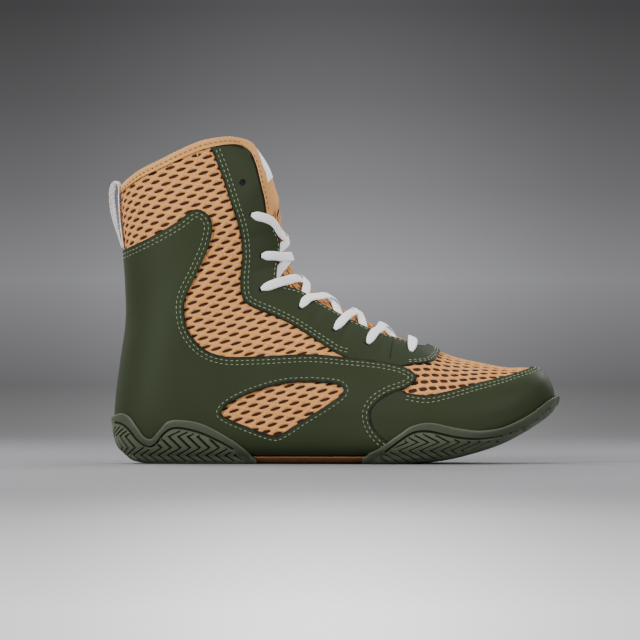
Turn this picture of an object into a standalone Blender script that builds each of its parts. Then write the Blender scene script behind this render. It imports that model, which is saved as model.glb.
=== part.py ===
"""High-cut boxing shoe for the right foot.

A hollow mesh upper is lofted through the sections of a last. Its overlays, tongue, insole and two-piece
cup sole are cut between larger and smaller forms of the same loft. Toe at +X, inner side at +Y, floor at z = 0.
"""

import math

import bmesh
import bpy
from mathutils import Vector

# Driving dimensions in metres
SHOE_LENGTH = 0.2924
WALL = 0.0020
GAP = 0.0003
OVERLAY = 0.0010
TONGUE_THICKNESS = 0.0032
INSOLE_THICKNESS = 0.0045
CUP_WALL = 0.0022
SOLE_UNDER = 0.0062
ARCH_UNDER = 0.0046
GROOVE_WIDTH = 0.0012
GROOVE_DEPTH = 0.0009
LACE_WIDTH = 0.0055
LACE_THICKNESS = 0.0016
TAPE_WIDTH = 0.0130
TAPE_THICKNESS = 0.0011
PRISM_REACH = 0.090
CUP_TUCK = 0.0084
ARCH_TUCK = 0.0022
TOE_TUCK = 0.0034
TOE_TIP = 0.0012
LASTING_BELOW = 0.0100
LASTING_ABOVE = 0.0055
LACE_CLEARANCE = 0.0013

# Side drawing: x runs to the toe, y runs down, and the shoe is DRAWING_LENGTH units long
DRAWING_LENGTH = 448.5
UNIT = SHOE_LENGTH / DRAWING_LENGTH
DRAWING_MIDDLE = 335.85
FLOOR_LINE = 463.4
MM = 0.001

# Last sections from toe to collar: end points of each section on the side drawing, then in mm the
# outer, inner and ridge y, then where the section is widest (0 top, 1 base) and how square it is
SECTION_COLUMNS = ("top_x", "top_y", "base_x", "base_y", "outer", "inner", "ridge",
                   "belly", "top_power", "base_power")
SECTIONS = (
    (553.0, 394.0, 552.0, 402.5, 1.0, 16.5, 8.5, 0.55, 2.0, 2.2),
    (549.0, 382.5, 547.5, 409.0, -7.0, 24.5, 8.5, 0.60, 2.1, 2.6),
    (541.0, 371.5, 538.5, 416.5, -15.5, 31.5, 8.5, 0.62, 2.2, 3.2),
    (528.0, 368.0, 525.0, 424.5, -24.5, 38.0, 8.0, 0.64, 2.2, 4.0),
    (508.0, 367.8, 504.0, 434.0, -34.0, 43.5, 7.5, 0.66, 2.1, 4.5),
    (483.0, 363.5, 478.0, 442.5, -42.0, 47.3, 7.0, 0.68, 2.0, 5.0),
    (453.0, 356.5, 447.0, 450.0, -48.0, 49.5, 7.0, 0.70, 1.9, 5.0),
    (425.0, 344.5, 415.0, 454.0, -49.5, 48.7, 7.0, 0.70, 1.9, 5.0),
    (396.5, 332.0, 378.0, 456.0, -47.5, 45.0, 7.0, 0.70, 1.9, 5.0),
    (361.5, 314.3, 332.0, 456.5, -44.0, 41.0, 7.0, 0.70, 1.9, 5.0),
    (327.0, 296.0, 284.0, 456.5, -40.5, 38.5, 6.5, 0.70, 1.9, 5.0),
    (302.5, 278.5, 236.0, 456.0, -38.0, 37.5, 6.0, 0.68, 1.9, 5.0),
    (291.3, 258.7, 190.0, 455.5, -36.0, 37.0, 5.5, 0.64, 1.9, 4.5),
    (286.5, 239.5, 148.0, 454.0, -35.0, 36.5, 5.0, 0.60, 1.95, 3.6),
    (284.6, 222.0, 124.5, 446.0, -34.5, 36.5, 4.0, 0.56, 2.0, 2.8),
    (283.0, 208.0, 117.5, 425.0, -34.5, 36.5, 3.5, 0.54, 2.05, 2.4),
    (281.0, 193.0, 118.0, 398.0, -34.5, 36.5, 3.0, 0.52, 2.1, 2.25),
    (278.0, 181.0, 122.5, 362.0, -34.5, 36.5, 2.5, 0.50, 2.15, 2.2),
    (274.0, 169.5, 128.0, 322.0, -35.0, 37.0, 2.0, 0.48, 2.2, 2.15),
    (269.5, 160.5, 127.5, 284.0, -35.5, 37.5, 2.0, 0.48, 2.2, 2.15),
    (264.0, 152.0, 124.5, 243.0, -36.0, 38.0, 2.0, 0.48, 2.2, 2.15),
    (257.5, 143.5, 121.5, 205.0, -36.5, 38.5, 2.0, 0.48, 2.2, 2.15),
    (252.0, 136.0, 123.0, 182.0, -37.0, 39.0, 2.0, 0.48, 2.2, 2.15),
    (244.0, 121.0, 125.5, 158.0, -37.5, 39.5, 2.0, 0.48, 2.2, 2.15),
)
LAST_ROW = len(SECTIONS) - 1
ROW_SAMPLES = 26
ANGLE_SAMPLES = 18
TOE_ROWS = (3.5, 6.5)
LASTING_ROWS = (2.4, 13.2)
LASTING_STEPS = 21
LASTING_SHARE = 0.74
LEG_STEPS = 4
LEG_RUN_ON = 0.03

# Side drawing outlines
COLLAR_LINE = ((112, 197), (124, 184), (140, 171), (160, 161), (180, 151), (200, 142.5), (216, 138.8),
               (230, 137.5), (243, 139.5), (256, 146))
BINDING_DROP = 8.5
THROAT_EDGE = ((252, 136), (258, 154), (264, 173), (268, 190), (271, 207), (274, 226), (280, 241),
               (279.5, 256), (277.5, 270), (277.5, 280), (284, 285), (300, 290), (322, 303), (343, 315),
               (370, 328), (405, 340), (422, 345), (430, 343))
BINDING_FRONT = ((250, 153), (255, 164), (258, 174), (261, 187), (264, 200), (266, 214))
EYESTAY_BACK = ((212, 149), (222, 175), (232, 205), (240, 230), (243, 255), (241, 280), (242.5, 296),
                (250, 305.5), (275, 316), (295, 326), (318, 341), (336, 352.5))
EYESTAY_TOE = ((350, 355.8), (380, 359.5), (396, 362.8), (412, 363.5), (430, 361), (438, 355), (442, 347))
QUARTER_TOP = ((104, 259), (124, 250), (140, 243), (160, 233), (180, 221), (190, 213), (199, 210), (209, 216),
               (213, 228), (209, 248), (198, 273), (187, 296), (185, 313), (190, 332), (204, 348), (225, 356),
               (260, 356), (310, 354), (350, 357.5), (380, 361), (400, 365.5), (413, 372), (416, 379))
QUARTER_FRONT = ((406, 387), (390, 393), (376, 402), (370, 413), (373, 426), (381, 436), (391, 443))
WINDOW = ((222, 411), (233, 401), (258, 390), (285, 383), (312, 381.5), (337, 384), (343, 391), (332, 401),
          (305, 418), (284, 431.5), (272, 434.5), (245, 425), (226, 416.5))
TOE_CAP_TOP = ((403, 391), (425, 394.5), (445, 391), (475, 383), (505, 375.5), (525, 369.5), (536, 364),
               (545, 352))
HEEL_RIM = ((104, 419), (113, 415.5), (122, 413), (130, 417), (138, 428), (145, 437), (152, 438.5), (160, 430),
            (168, 421.5), (180, 419.5), (200, 422.5), (220, 432), (240, 445), (257.5, 462.5))
HEEL_GROOVE = ((104, 422), (120, 423), (129, 429), (138, 440), (148, 446.5), (156, 444), (166, 432), (178, 427.5),
               (200, 432), (220, 441), (234, 449))
FOREFOOT_RIM = ((362.5, 462.5), (363, 458), (380, 447), (400, 432.5), (412, 425), (430, 422), (455, 427),
                (480, 430), (505, 426), (530, 414), (550, 399.5), (568, 392))
FOREFOOT_GROOVE = ((384, 452), (400, 439.5), (414, 431.5), (430, 431), (455, 436.5), (480, 438.5), (505, 434.5),
                   (530, 424), (550, 408), (566, 398))
TONGUE_EDGE = ((440, 366), (400, 356), (370, 345), (343, 332), (322, 320), (300, 308), (278, 302), (264, 292),
               (262, 270), (264, 248), (258, 228), (252, 205), (246, 180), (240, 160), (237, 144))
LOOP_PATH = ((122.8, 246), (121.7, 230), (120.2, 212), (118.5, 198), (119.2, 188), (117.0, 182.2), (113.4, 183.8),
             (111.8, 194), (112.6, 212), (115.4, 229), (118.8, 241), (120.4, 246))
ARCH_RUN = (246, 380)
TOE_RUN = 395
ARCH_OUTLINE = ((255.2, 457.2), (259.7, 464), (360.3, 464), (360.3, 457.2))
COLLAR_CORNER = 247
FRONT_STRIP = (146, 215)

# Points well outside the shoe that close the outlines of the helper solids
THROAT_CLEAR = ((460, 300), (320, 60), (248, 60))
COLLAR_CLEAR = ((300, 170), (300, 60), (90, 60), (90, 215))
UNDER_COLLAR = ((330, 190), (330, 420), (90, 420))
TONGUE_CLEAR = ((252, 140), (300, 150), (330, 260), (470, 330))
INSOLE_CLEAR = ((90, 444), (90, 480), (580, 480))
TOE_CLEAR = ((572, 360), (572, 400))
HEEL_CLEAR = ((104, 440),)
HEEL_FLOOR = ((257.5, FLOOR_LINE), (104, FLOOR_LINE))
FOREFOOT_FLOOR = ((575, FLOOR_LINE), (362.5, FLOOR_LINE))
EYELETS = ((411, 350.5), (368, 343), (335, 329), (301, 307), (261.5, 289), (262, 256), (252, 215))

# Colour, roughness of each sub-part
LOOKS = {
    "upper": ((0.66, 0.37, 0.17), 0.80),
    "quarter_overlay": ((0.048, 0.061, 0.030), 0.55),
    "eyestay": ((0.048, 0.061, 0.030), 0.55),
    "toe_cap": ((0.048, 0.061, 0.030), 0.55),
    "collar_binding": ((0.73, 0.38, 0.14), 0.75),
    "tongue": ((0.73, 0.38, 0.14), 0.80),
    "insole": ((0.10, 0.10, 0.09), 0.90),
    "outsole_heel": ((0.089, 0.107, 0.072), 0.70),
    "outsole_forefoot": ((0.089, 0.107, 0.072), 0.70),
    "arch_bridge": ((0.20, 0.09, 0.04), 0.70),
    "pull_loop": ((0.89, 0.89, 0.90), 0.80),
    "lace": ((0.89, 0.89, 0.90), 0.80),
}


def side_point(x, y):
    """Place of a side drawing point in the x-z plane, in metres."""
    return (x - DRAWING_MIDDLE) * UNIT, (FLOOR_LINE - y) * UNIT


def smooth_value(before, start, end, after, t):
    """Cubic that passes through start and end with slopes taken from their neighbours."""
    slope_start = 0.5 * (end - before)
    slope_end = 0.5 * (after - start)
    rise = end - start
    return start + t * (slope_start + t * (3 * rise - 2 * slope_start - slope_end
                                           + t * (slope_start + slope_end - 2 * rise)))


def section(row):
    """Section columns at a fractional row, as a dictionary."""
    index = min(int(row), LAST_ROW - 1)
    t = row - index
    rows = [SECTIONS[min(max(index + step, 0), LAST_ROW)] for step in (-1, 0, 1, 2)]
    values = [smooth_value(*four, t) for four in zip(*rows)]
    return dict(zip(SECTION_COLUMNS, values))


def last_point(row, angle):
    """Point of the last: angle 0 is the ridge, minus is the outer side, plus the inner side, pi the base."""
    s = section(row)
    across = abs(math.sin(angle))
    along = math.cos(angle)
    power = s["top_power"] if along > 0 else s["base_power"]
    width = across ** (2.0 / power)
    reach = abs(along) ** (2.0 / power)
    v = s["belly"] * (1 - reach) if along > 0 else s["belly"] + (1 - s["belly"]) * reach
    x, z = side_point(s["top_x"] + v * (s["base_x"] - s["top_x"]), s["top_y"] + v * (s["base_y"] - s["top_y"]))
    edge = s["outer"] if angle < 0 else s["inner"]
    y = (s["ridge"] + (edge - s["ridge"]) * width) * MM
    return Vector((x, y, z))


def last_normal(row, angle):
    """Outward normal of the last, by differences along rows and round the section."""
    step_row, step_angle = 0.02, 0.02
    low_row, high_row = max(row - step_row, 0), min(row + step_row, LAST_ROW)
    along = last_point(high_row, angle) - last_point(low_row, angle)
    around = last_point(row, angle + step_angle) - last_point(row, angle - step_angle)
    return around.cross(along).normalized()


def ease(value, low, high):
    """Smooth step from 0 at low to 1 at high."""
    t = min(max((value - low) / (high - low), 0), 1)
    return t * t * (3 - 2 * t)


def form_point(row, angle, side, under):
    """Point of a larger or smaller form: side is its distance from the last, under the distance below it."""
    normal = last_normal(row, angle)
    distance = side + (under - side) * ease(-normal.z, 0.85, 0.99)
    return last_point(row, angle) + normal * distance


def new_object(name, bm, collection):
    """Object in a collection from a bmesh, with its faces turned out."""
    bmesh.ops.recalc_face_normals(bm, faces=bm.faces)
    mesh = bpy.data.meshes.new(name)
    bm.to_mesh(mesh)
    bm.free()
    obj = bpy.data.objects.new(name, mesh)
    collection.objects.link(obj)
    return obj


def form_bmesh(side, under=None):
    """Closed form at a distance from the last, with a rounded toe end and a flat top end."""
    under = side if under is None else under
    bm = bmesh.new()
    rings = []
    for i in range(ROW_SAMPLES):
        row = LAST_ROW * i / (ROW_SAMPLES - 1)
        angles = [-math.pi + math.tau * (k + 0.5) / ANGLE_SAMPLES for k in range(ANGLE_SAMPLES)]
        rings.append([bm.verts.new(form_point(row, angle, side, under)) for angle in angles])
    for ring, following in zip(rings, rings[1:]):
        for k in range(ANGLE_SAMPLES):
            n = (k + 1) % ANGLE_SAMPLES
            bm.faces.new((ring[k], ring[n], following[n], following[k]))
    centre = sum((vert.co for vert in rings[0]), Vector()) / ANGLE_SAMPLES
    tip = bm.verts.new(centre + Vector((TOE_TIP * (1 + side / (WALL + TONGUE_THICKNESS)), 0, 0)))
    for k in range(ANGLE_SAMPLES):
        bm.faces.new((rings[0][k], tip, rings[0][(k + 1) % ANGLE_SAMPLES]))
    bm.faces.new(rings[-1])
    bmesh.ops.triangulate(bm, faces=bm.faces)
    return bm


def flowing(points, steps=2):
    """Smooth line through side drawing points."""
    line = []
    for i in range(len(points) - 1):
        four = [points[min(max(i + step, 0), len(points) - 1)] for step in (-1, 0, 1, 2)]
        for k in range(steps):
            line.append(tuple(smooth_value(*column, k / steps) for column in zip(*four)))
    line.append(tuple(points[-1]))
    return line


def moved_line(points, distance):
    """Line moved sideways by a distance in drawing units, to the right hand of its run on the drawing."""
    moved = []
    for i, (x, y) in enumerate(points):
        ahead = points[min(i + 1, len(points) - 1)]
        behind = points[max(i - 1, 0)]
        dx, dy = ahead[0] - behind[0], ahead[1] - behind[1]
        length = math.hypot(dx, dy)
        moved.append((x - dy / length * distance, y + dx / length * distance))
    return moved


def prism_bmesh(outline):
    """Side drawing outline carried across the whole width of the shoe."""
    bm = bmesh.new()
    left, right = [], []
    for x, y in outline:
        px, pz = side_point(x, y)
        left.append(bm.verts.new((px, -PRISM_REACH, pz)))
        right.append(bm.verts.new((px, PRISM_REACH, pz)))
    bm.faces.new(left)
    bm.faces.new(right[::-1])
    count = len(outline)
    for i in range(count):
        n = (i + 1) % count
        bm.faces.new((left[i], right[i], right[n], left[n]))
    return bm


def cutter(name, bm, cutters):
    """Helper solid that shapes the parts and isn't one of them."""
    obj = new_object(name, bm, cutters)
    obj.hide_render = True
    obj.display_type = "WIRE"
    return obj


def cut(obj, tool, operation):
    """Boolean modifier on an object."""
    modifier = obj.modifiers.new(operation.title() + " " + tool.name, "BOOLEAN")
    modifier.solver = "EXACT"
    modifier.operation = operation
    modifier.object = tool


def finish_part(obj):
    """Material and smooth shading for a sub-part."""
    colour, roughness = LOOKS[obj.name]
    material = bpy.data.materials.new(obj.name)
    material.use_nodes = True
    shader = material.node_tree.nodes["Principled BSDF"]
    shader.inputs["Base Color"].default_value = (*colour, 1)
    shader.inputs["Roughness"].default_value = roughness
    obj.data.materials.append(material)
    obj.data.shade_smooth()
    obj.data.set_sharp_from_angle(angle=math.radians(40))


def base_line(lift, toe_lift):
    """Side drawing line of the last's base from toe to heel, raised by a length in metres."""
    rows = [0.6 + 0.4 * i for i in range(33)]
    line = []
    for row in rows:
        s = section(row)
        raised = toe_lift + (lift - toe_lift) * ease(row, *TOE_ROWS)
        line.append((s["base_x"], s["base_y"] - raised / UNIT))
    return line


def make_forms(cutters):
    """Larger and smaller forms of the last that the parts are cut between."""
    distances = {
        "form_inside": (-WALL, None),
        "form_inside_clear": (-WALL - GAP - TONGUE_THICKNESS, None),
        "form_overlay_back": (GAP, None),
        "form_sole_inside": (2 * GAP + OVERLAY, GAP),
        "form_groove_floor": (2 * GAP + OVERLAY + CUP_WALL - GROOVE_DEPTH, SOLE_UNDER),
    }
    return {name: cutter(name, form_bmesh(*pair), cutters) for name, pair in distances.items()}


def make_upper(parts, cutters, forms):
    """Hollow mesh upper, open at the collar, the throat and underneath."""
    upper = new_object("upper", form_bmesh(0.0), parts)
    cut(upper, forms["form_inside"], "DIFFERENCE")
    cut(upper, cutter("cut_lasting", lasting_bmesh(), cutters), "DIFFERENCE")
    throat = list(THROAT_EDGE + THROAT_CLEAR)
    cut(upper, cutter("cut_throat", prism_bmesh(throat), cutters), "DIFFERENCE")
    edge_drop = (OVERLAY + GAP) / UNIT
    collar = moved_line(list(COLLAR_LINE), edge_drop) + list(COLLAR_CLEAR)
    cut(upper, cutter("cut_collar", prism_bmesh(collar), cutters), "DIFFERENCE")
    return upper


def lasting_bmesh():
    """Opening under the foot, inside the margin that is turned in over the insole."""
    first, last = LASTING_ROWS
    bm = bmesh.new()
    rings = []
    for i in range(LASTING_STEPS + 1):
        s = section(first + (last - first) * i / LASTING_STEPS)
        x, z = side_point(s["base_x"], s["base_y"])
        middle = 0.5 * (s["outer"] + s["inner"]) * MM
        half = 0.5 * (s["inner"] - s["outer"]) * MM * LASTING_SHARE
        low, high = -LASTING_BELOW, LASTING_ABOVE
        corners = ((-half, low), (half, low), (half, high), (-half, high))
        rings.append([bm.verts.new((x, middle + dy, z + dz)) for dy, dz in corners])
    for ring, following in zip(rings, rings[1:]):
        for k in range(4):
            n = (k + 1) % 4
            bm.faces.new((ring[k], ring[n], following[n], following[k]))
    bm.faces.new(rings[0])
    bm.faces.new(rings[-1])
    bmesh.ops.triangulate(bm, faces=bm.faces)
    return bm


def make_overlay(name, outline, parts, cutters, forms):
    """Overlay as thick as OVERLAY, lying on the upper inside a side drawing outline."""
    overlay = new_object(name, form_bmesh(GAP + OVERLAY), parts)
    cut(overlay, forms["form_overlay_back"], "DIFFERENCE")
    cut(overlay, cutter("cut_" + name, prism_bmesh(outline), cutters), "INTERSECT")
    return overlay


def overlay_outlines():
    """Side drawing outlines of the overlays, kept a gap apart where they meet."""
    seam = GAP / UNIT
    in_cup, in_arch = base_line(CUP_TUCK, TOE_TUCK), base_line(ARCH_TUCK, TOE_TUCK)
    foot = [point for point in in_cup if point[0] > TOE_RUN]
    arch_foot = [point for point in in_arch if ARCH_RUN[0] < point[0] < ARCH_RUN[1]]
    heel_foot = [point for point in in_cup if point[0] < ARCH_RUN[0]]
    quarter = list(QUARTER_TOP + QUARTER_FRONT) + arch_foot + heel_foot + list(HEEL_CLEAR)
    toe_edge = moved_line(list(QUARTER_FRONT), -seam - 0.4)
    toe = list(TOE_CAP_TOP + TOE_CLEAR) + foot + toe_edge[::-1][:-3]
    binding_edge = moved_line(list(COLLAR_LINE), BINDING_DROP + seam)
    stay_top = [point for point in binding_edge if EYESTAY_BACK[0][0] < point[0] < COLLAR_CORNER]
    strip = moved_line(list(BINDING_FRONT), seam)
    throat = list(THROAT_EDGE)
    stay_throat = [point for point in throat if point[1] > FRONT_STRIP[1]]
    stay = list(EYESTAY_BACK + EYESTAY_TOE) + stay_throat[::-1] + strip[::-1] + stay_top[::-1]
    return {"quarter_overlay": quarter, "toe_cap": toe, "eyestay": stay}


def make_binding(parts, cutters, forms):
    """Folded edge tape over the collar, running down the front edges of the eyestay."""
    binding = new_object("collar_binding", form_bmesh(GAP + OVERLAY), parts)
    cut(binding, forms["form_inside"], "DIFFERENCE")
    collar = list(COLLAR_LINE)
    lower = [point for point in moved_line(collar, BINDING_DROP) if point[0] < COLLAR_CORNER]
    throat = [point for point in THROAT_EDGE if FRONT_STRIP[0] < point[1] < FRONT_STRIP[1]]
    front = throat + list(BINDING_FRONT)[::-1]
    top = [point for point in collar if point[0] < COLLAR_CORNER]
    band = top + front + lower[::-1]
    cut(binding, cutter("cut_binding", prism_bmesh(band), cutters), "INTERSECT")
    slot = cutter("cut_binding_slot", form_bmesh(GAP), cutters)
    under = moved_line(collar, OVERLAY / UNIT) + list(UNDER_COLLAR)
    cut(slot, cutter("cut_under_collar", prism_bmesh(under), cutters), "INTERSECT")
    cut(binding, slot, "DIFFERENCE")
    return binding


def make_tongue(parts, cutters, forms):
    """Tongue under the throat, from the vamp to the collar."""
    tongue = new_object("tongue", form_bmesh(-WALL - GAP), parts)
    cut(tongue, forms["form_inside_clear"], "DIFFERENCE")
    cut(tongue, cutter("cut_tongue", prism_bmesh(TONGUE_EDGE + TONGUE_CLEAR), cutters), "INTERSECT")
    return tongue


def make_insole(parts, cutters):
    """Footbed lying on the turned-in margin of the upper."""
    insole = new_object("insole", form_bmesh(-WALL - GAP), parts)
    height = WALL + GAP + INSOLE_THICKNESS
    outline = base_line(height, height) + list(INSOLE_CLEAR)
    cut(insole, cutter("cut_insole", prism_bmesh(outline), cutters), "INTERSECT")
    return insole


def make_outsole(name, rim, groove, floor_run, parts, cutters, forms):
    """Cup sole piece with a stepped rim along its wavy edge and a flat tread on the floor."""
    sole = new_object(name, form_bmesh(2 * GAP + OVERLAY + CUP_WALL, SOLE_UNDER), parts)
    cut(sole, forms["form_sole_inside"], "DIFFERENCE")
    cut(sole, cutter("cut_" + name, prism_bmesh(rim + floor_run), cutters), "INTERSECT")
    half = 0.5 * GROOVE_WIDTH / UNIT
    strip = moved_line(groove, -half) + moved_line(groove, half)[::-1]
    channel = cutter("cut_groove_" + name, prism_bmesh(strip), cutters)
    cut(channel, forms["form_groove_floor"], "DIFFERENCE")
    cut(sole, channel, "DIFFERENCE")
    return sole


def make_arch(parts, cutters, forms):
    """Bridge under the waist between the two outsole pieces."""
    arch = new_object("arch_bridge", form_bmesh(2 * GAP, ARCH_UNDER), parts)
    cut(arch, forms["form_sole_inside"], "DIFFERENCE")
    cut(arch, cutter("cut_arch", prism_bmesh(ARCH_OUTLINE), cutters), "INTERSECT")
    return arch


def make_loop(parts):
    """Folded pull tape at the back of the heel."""
    path = flowing(LOOP_PATH)
    half = 0.5 * TAPE_THICKNESS / UNIT
    outline = moved_line(path, -half) + moved_line(path, half)[::-1]
    bm = prism_bmesh(outline)
    middle = 0.5 * (SECTIONS[-3][4] + SECTIONS[-3][5]) * MM
    for vert in bm.verts:
        vert.co.y = middle + math.copysign(0.5 * TAPE_WIDTH, vert.co.y)
    return new_object("pull_loop", bm, parts)


def locate(x, y, sign):
    """Row and angle of the last at a side drawing point, on the outer (-1) or inner (+1) side."""
    row, angle = 10.0, 1.0
    goal = side_point(x, y)
    reach_row, reach_angle = 8.0, 0.9
    for _ in range(40):
        tries = []
        for i in (-1, 0, 1):
            for k in (-1, 0, 1):
                r = min(max(row + i * reach_row, 0), LAST_ROW)
                a = min(max(angle + k * reach_angle, 0.02), math.pi)
                p = last_point(r, sign * a)
                tries.append((math.hypot(p.x - goal[0], p.z - goal[1]), r, a))
        _, row, angle = min(tries)
        reach_row *= 0.75
        reach_angle *= 0.75
    return row, angle


def leg_place(start, end, t):
    """Row and angle part of the way along a lace leg."""
    return start[0] + (end[0] - start[0]) * t, start[1] + (end[1] - start[1]) * t


def lace_leg_bmesh(start, end, lift):
    """Flat lace stretch over the throat between two places on the last."""
    bm = bmesh.new()
    rings = []
    for i in range(LEG_STEPS + 1):
        t = (1 + 2 * LEG_RUN_ON) * i / LEG_STEPS - LEG_RUN_ON
        row, angle = leg_place(start, end, t)
        tip, tail = [last_point(*leg_place(start, end, t + s)) for s in (LEG_RUN_ON, -LEG_RUN_ON)]
        normal = last_normal(row, angle)
        across = normal.cross(tip - tail).normalized()
        centre = last_point(row, angle) + normal * lift
        profile = ((-0.5, -0.5), (-0.4, 0.5), (0.4, 0.5), (0.5, -0.5))
        rings.append([bm.verts.new(centre + across * (u * LACE_WIDTH) + normal * (w * LACE_THICKNESS))
                      for u, w in profile])
    for ring, following in zip(rings, rings[1:]):
        for k in range(4):
            n = (k + 1) % 4
            bm.faces.new((ring[k], ring[n], following[n], following[k]))
    bm.faces.new(rings[0])
    bm.faces.new(rings[-1])
    bmesh.ops.triangulate(bm, faces=bm.faces)
    return bm


def make_lace(parts, cutters):
    """Crossed lace legs joined at the eyelets, with a straight bar at the toe end."""
    lift = GAP + OVERLAY + GAP + 0.5 * LACE_THICKNESS + LACE_CLEARANCE
    places = []
    for x, y in EYELETS:
        outer, inner = locate(x, y, -1), locate(x, y, 1)
        places.append(((outer[0], -outer[1]), inner))
    crossing = lift + 0.3 * LACE_THICKNESS
    legs = []
    for lower, upper in zip(places, places[1:]):
        legs.append((lower[0], upper[1], lift))
        legs.append((lower[1], upper[0], crossing))
    lace = new_object("lace", lace_leg_bmesh(places[0][0], places[0][1], lift), parts)
    for i, leg in enumerate(legs):
        cut(lace, cutter("lace_leg_%d" % (i + 1), lace_leg_bmesh(*leg), cutters), "UNION")
    return lace


def main():
    """Builds every sub-part of the shoe."""
    for obj in list(bpy.data.objects):
        bpy.data.objects.remove(obj)
    parts = bpy.data.collections.new("Boxing shoe")
    cutters = bpy.data.collections.new("Cutters")
    bpy.context.scene.collection.children.link(parts)
    bpy.context.scene.collection.children.link(cutters)

    forms = make_forms(cutters)
    make_upper(parts, cutters, forms)
    outlines = overlay_outlines()
    for name, outline in outlines.items():
        overlay = make_overlay(name, outline, parts, cutters, forms)
        if name == "quarter_overlay":
            window = prism_bmesh(flowing(WINDOW + WINDOW[:1])[:-1])
            cut(overlay, cutter("cut_window", window, cutters), "DIFFERENCE")
    make_binding(parts, cutters, forms)
    make_tongue(parts, cutters, forms)
    make_insole(parts, cutters)
    make_outsole("outsole_heel", HEEL_RIM, HEEL_GROOVE, HEEL_FLOOR, parts, cutters, forms)
    make_outsole("outsole_forefoot", FOREFOOT_RIM, FOREFOOT_GROOVE, FOREFOOT_FLOOR, parts, cutters, forms)
    make_arch(parts, cutters, forms)
    make_loop(parts)
    make_lace(parts, cutters)
    for obj in parts.objects:
        finish_part(obj)


main()
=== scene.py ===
import math

import bmesh
import bpy
import numpy as np
from bpy.props import FloatProperty, FloatVectorProperty, PointerProperty
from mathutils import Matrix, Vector
from mathutils.geometry import delaunay_2d_cdt
from mathutils.kdtree import KDTree


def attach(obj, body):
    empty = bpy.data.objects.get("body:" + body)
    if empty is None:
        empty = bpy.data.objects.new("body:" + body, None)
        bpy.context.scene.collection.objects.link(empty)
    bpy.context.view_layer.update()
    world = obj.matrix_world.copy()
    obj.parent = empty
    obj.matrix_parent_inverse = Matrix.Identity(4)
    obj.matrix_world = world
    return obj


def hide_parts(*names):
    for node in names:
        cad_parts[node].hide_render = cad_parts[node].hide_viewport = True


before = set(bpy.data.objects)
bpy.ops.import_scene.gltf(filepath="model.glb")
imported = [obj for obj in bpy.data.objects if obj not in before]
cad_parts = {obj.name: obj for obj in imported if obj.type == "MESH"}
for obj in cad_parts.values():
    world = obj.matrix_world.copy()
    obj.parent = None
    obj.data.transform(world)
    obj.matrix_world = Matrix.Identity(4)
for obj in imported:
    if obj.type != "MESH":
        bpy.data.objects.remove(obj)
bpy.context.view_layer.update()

bl_info = {
    "name": "Boxing shoe dresser",
    "version": (1, 0, 0),
    "blender": (4, 5, 0),
    "location": "View3D > Sidebar > Shoe",
    "description": "Dresses the solids of a boxing shoe in knit mesh, overlays, stitches, lace and rubber",
    "category": "Object",
}

MM = 0.001

# Side drawing: x runs to the toe, y runs down, and the shoe is DRAWING_LENGTH units long
SHOE_LENGTH = 0.2924
DRAWING_LENGTH = 448.5
UNIT = SHOE_LENGTH / DRAWING_LENGTH
DRAWING_MIDDLE = 335.85
FLOOR_LINE = 463.4

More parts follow.
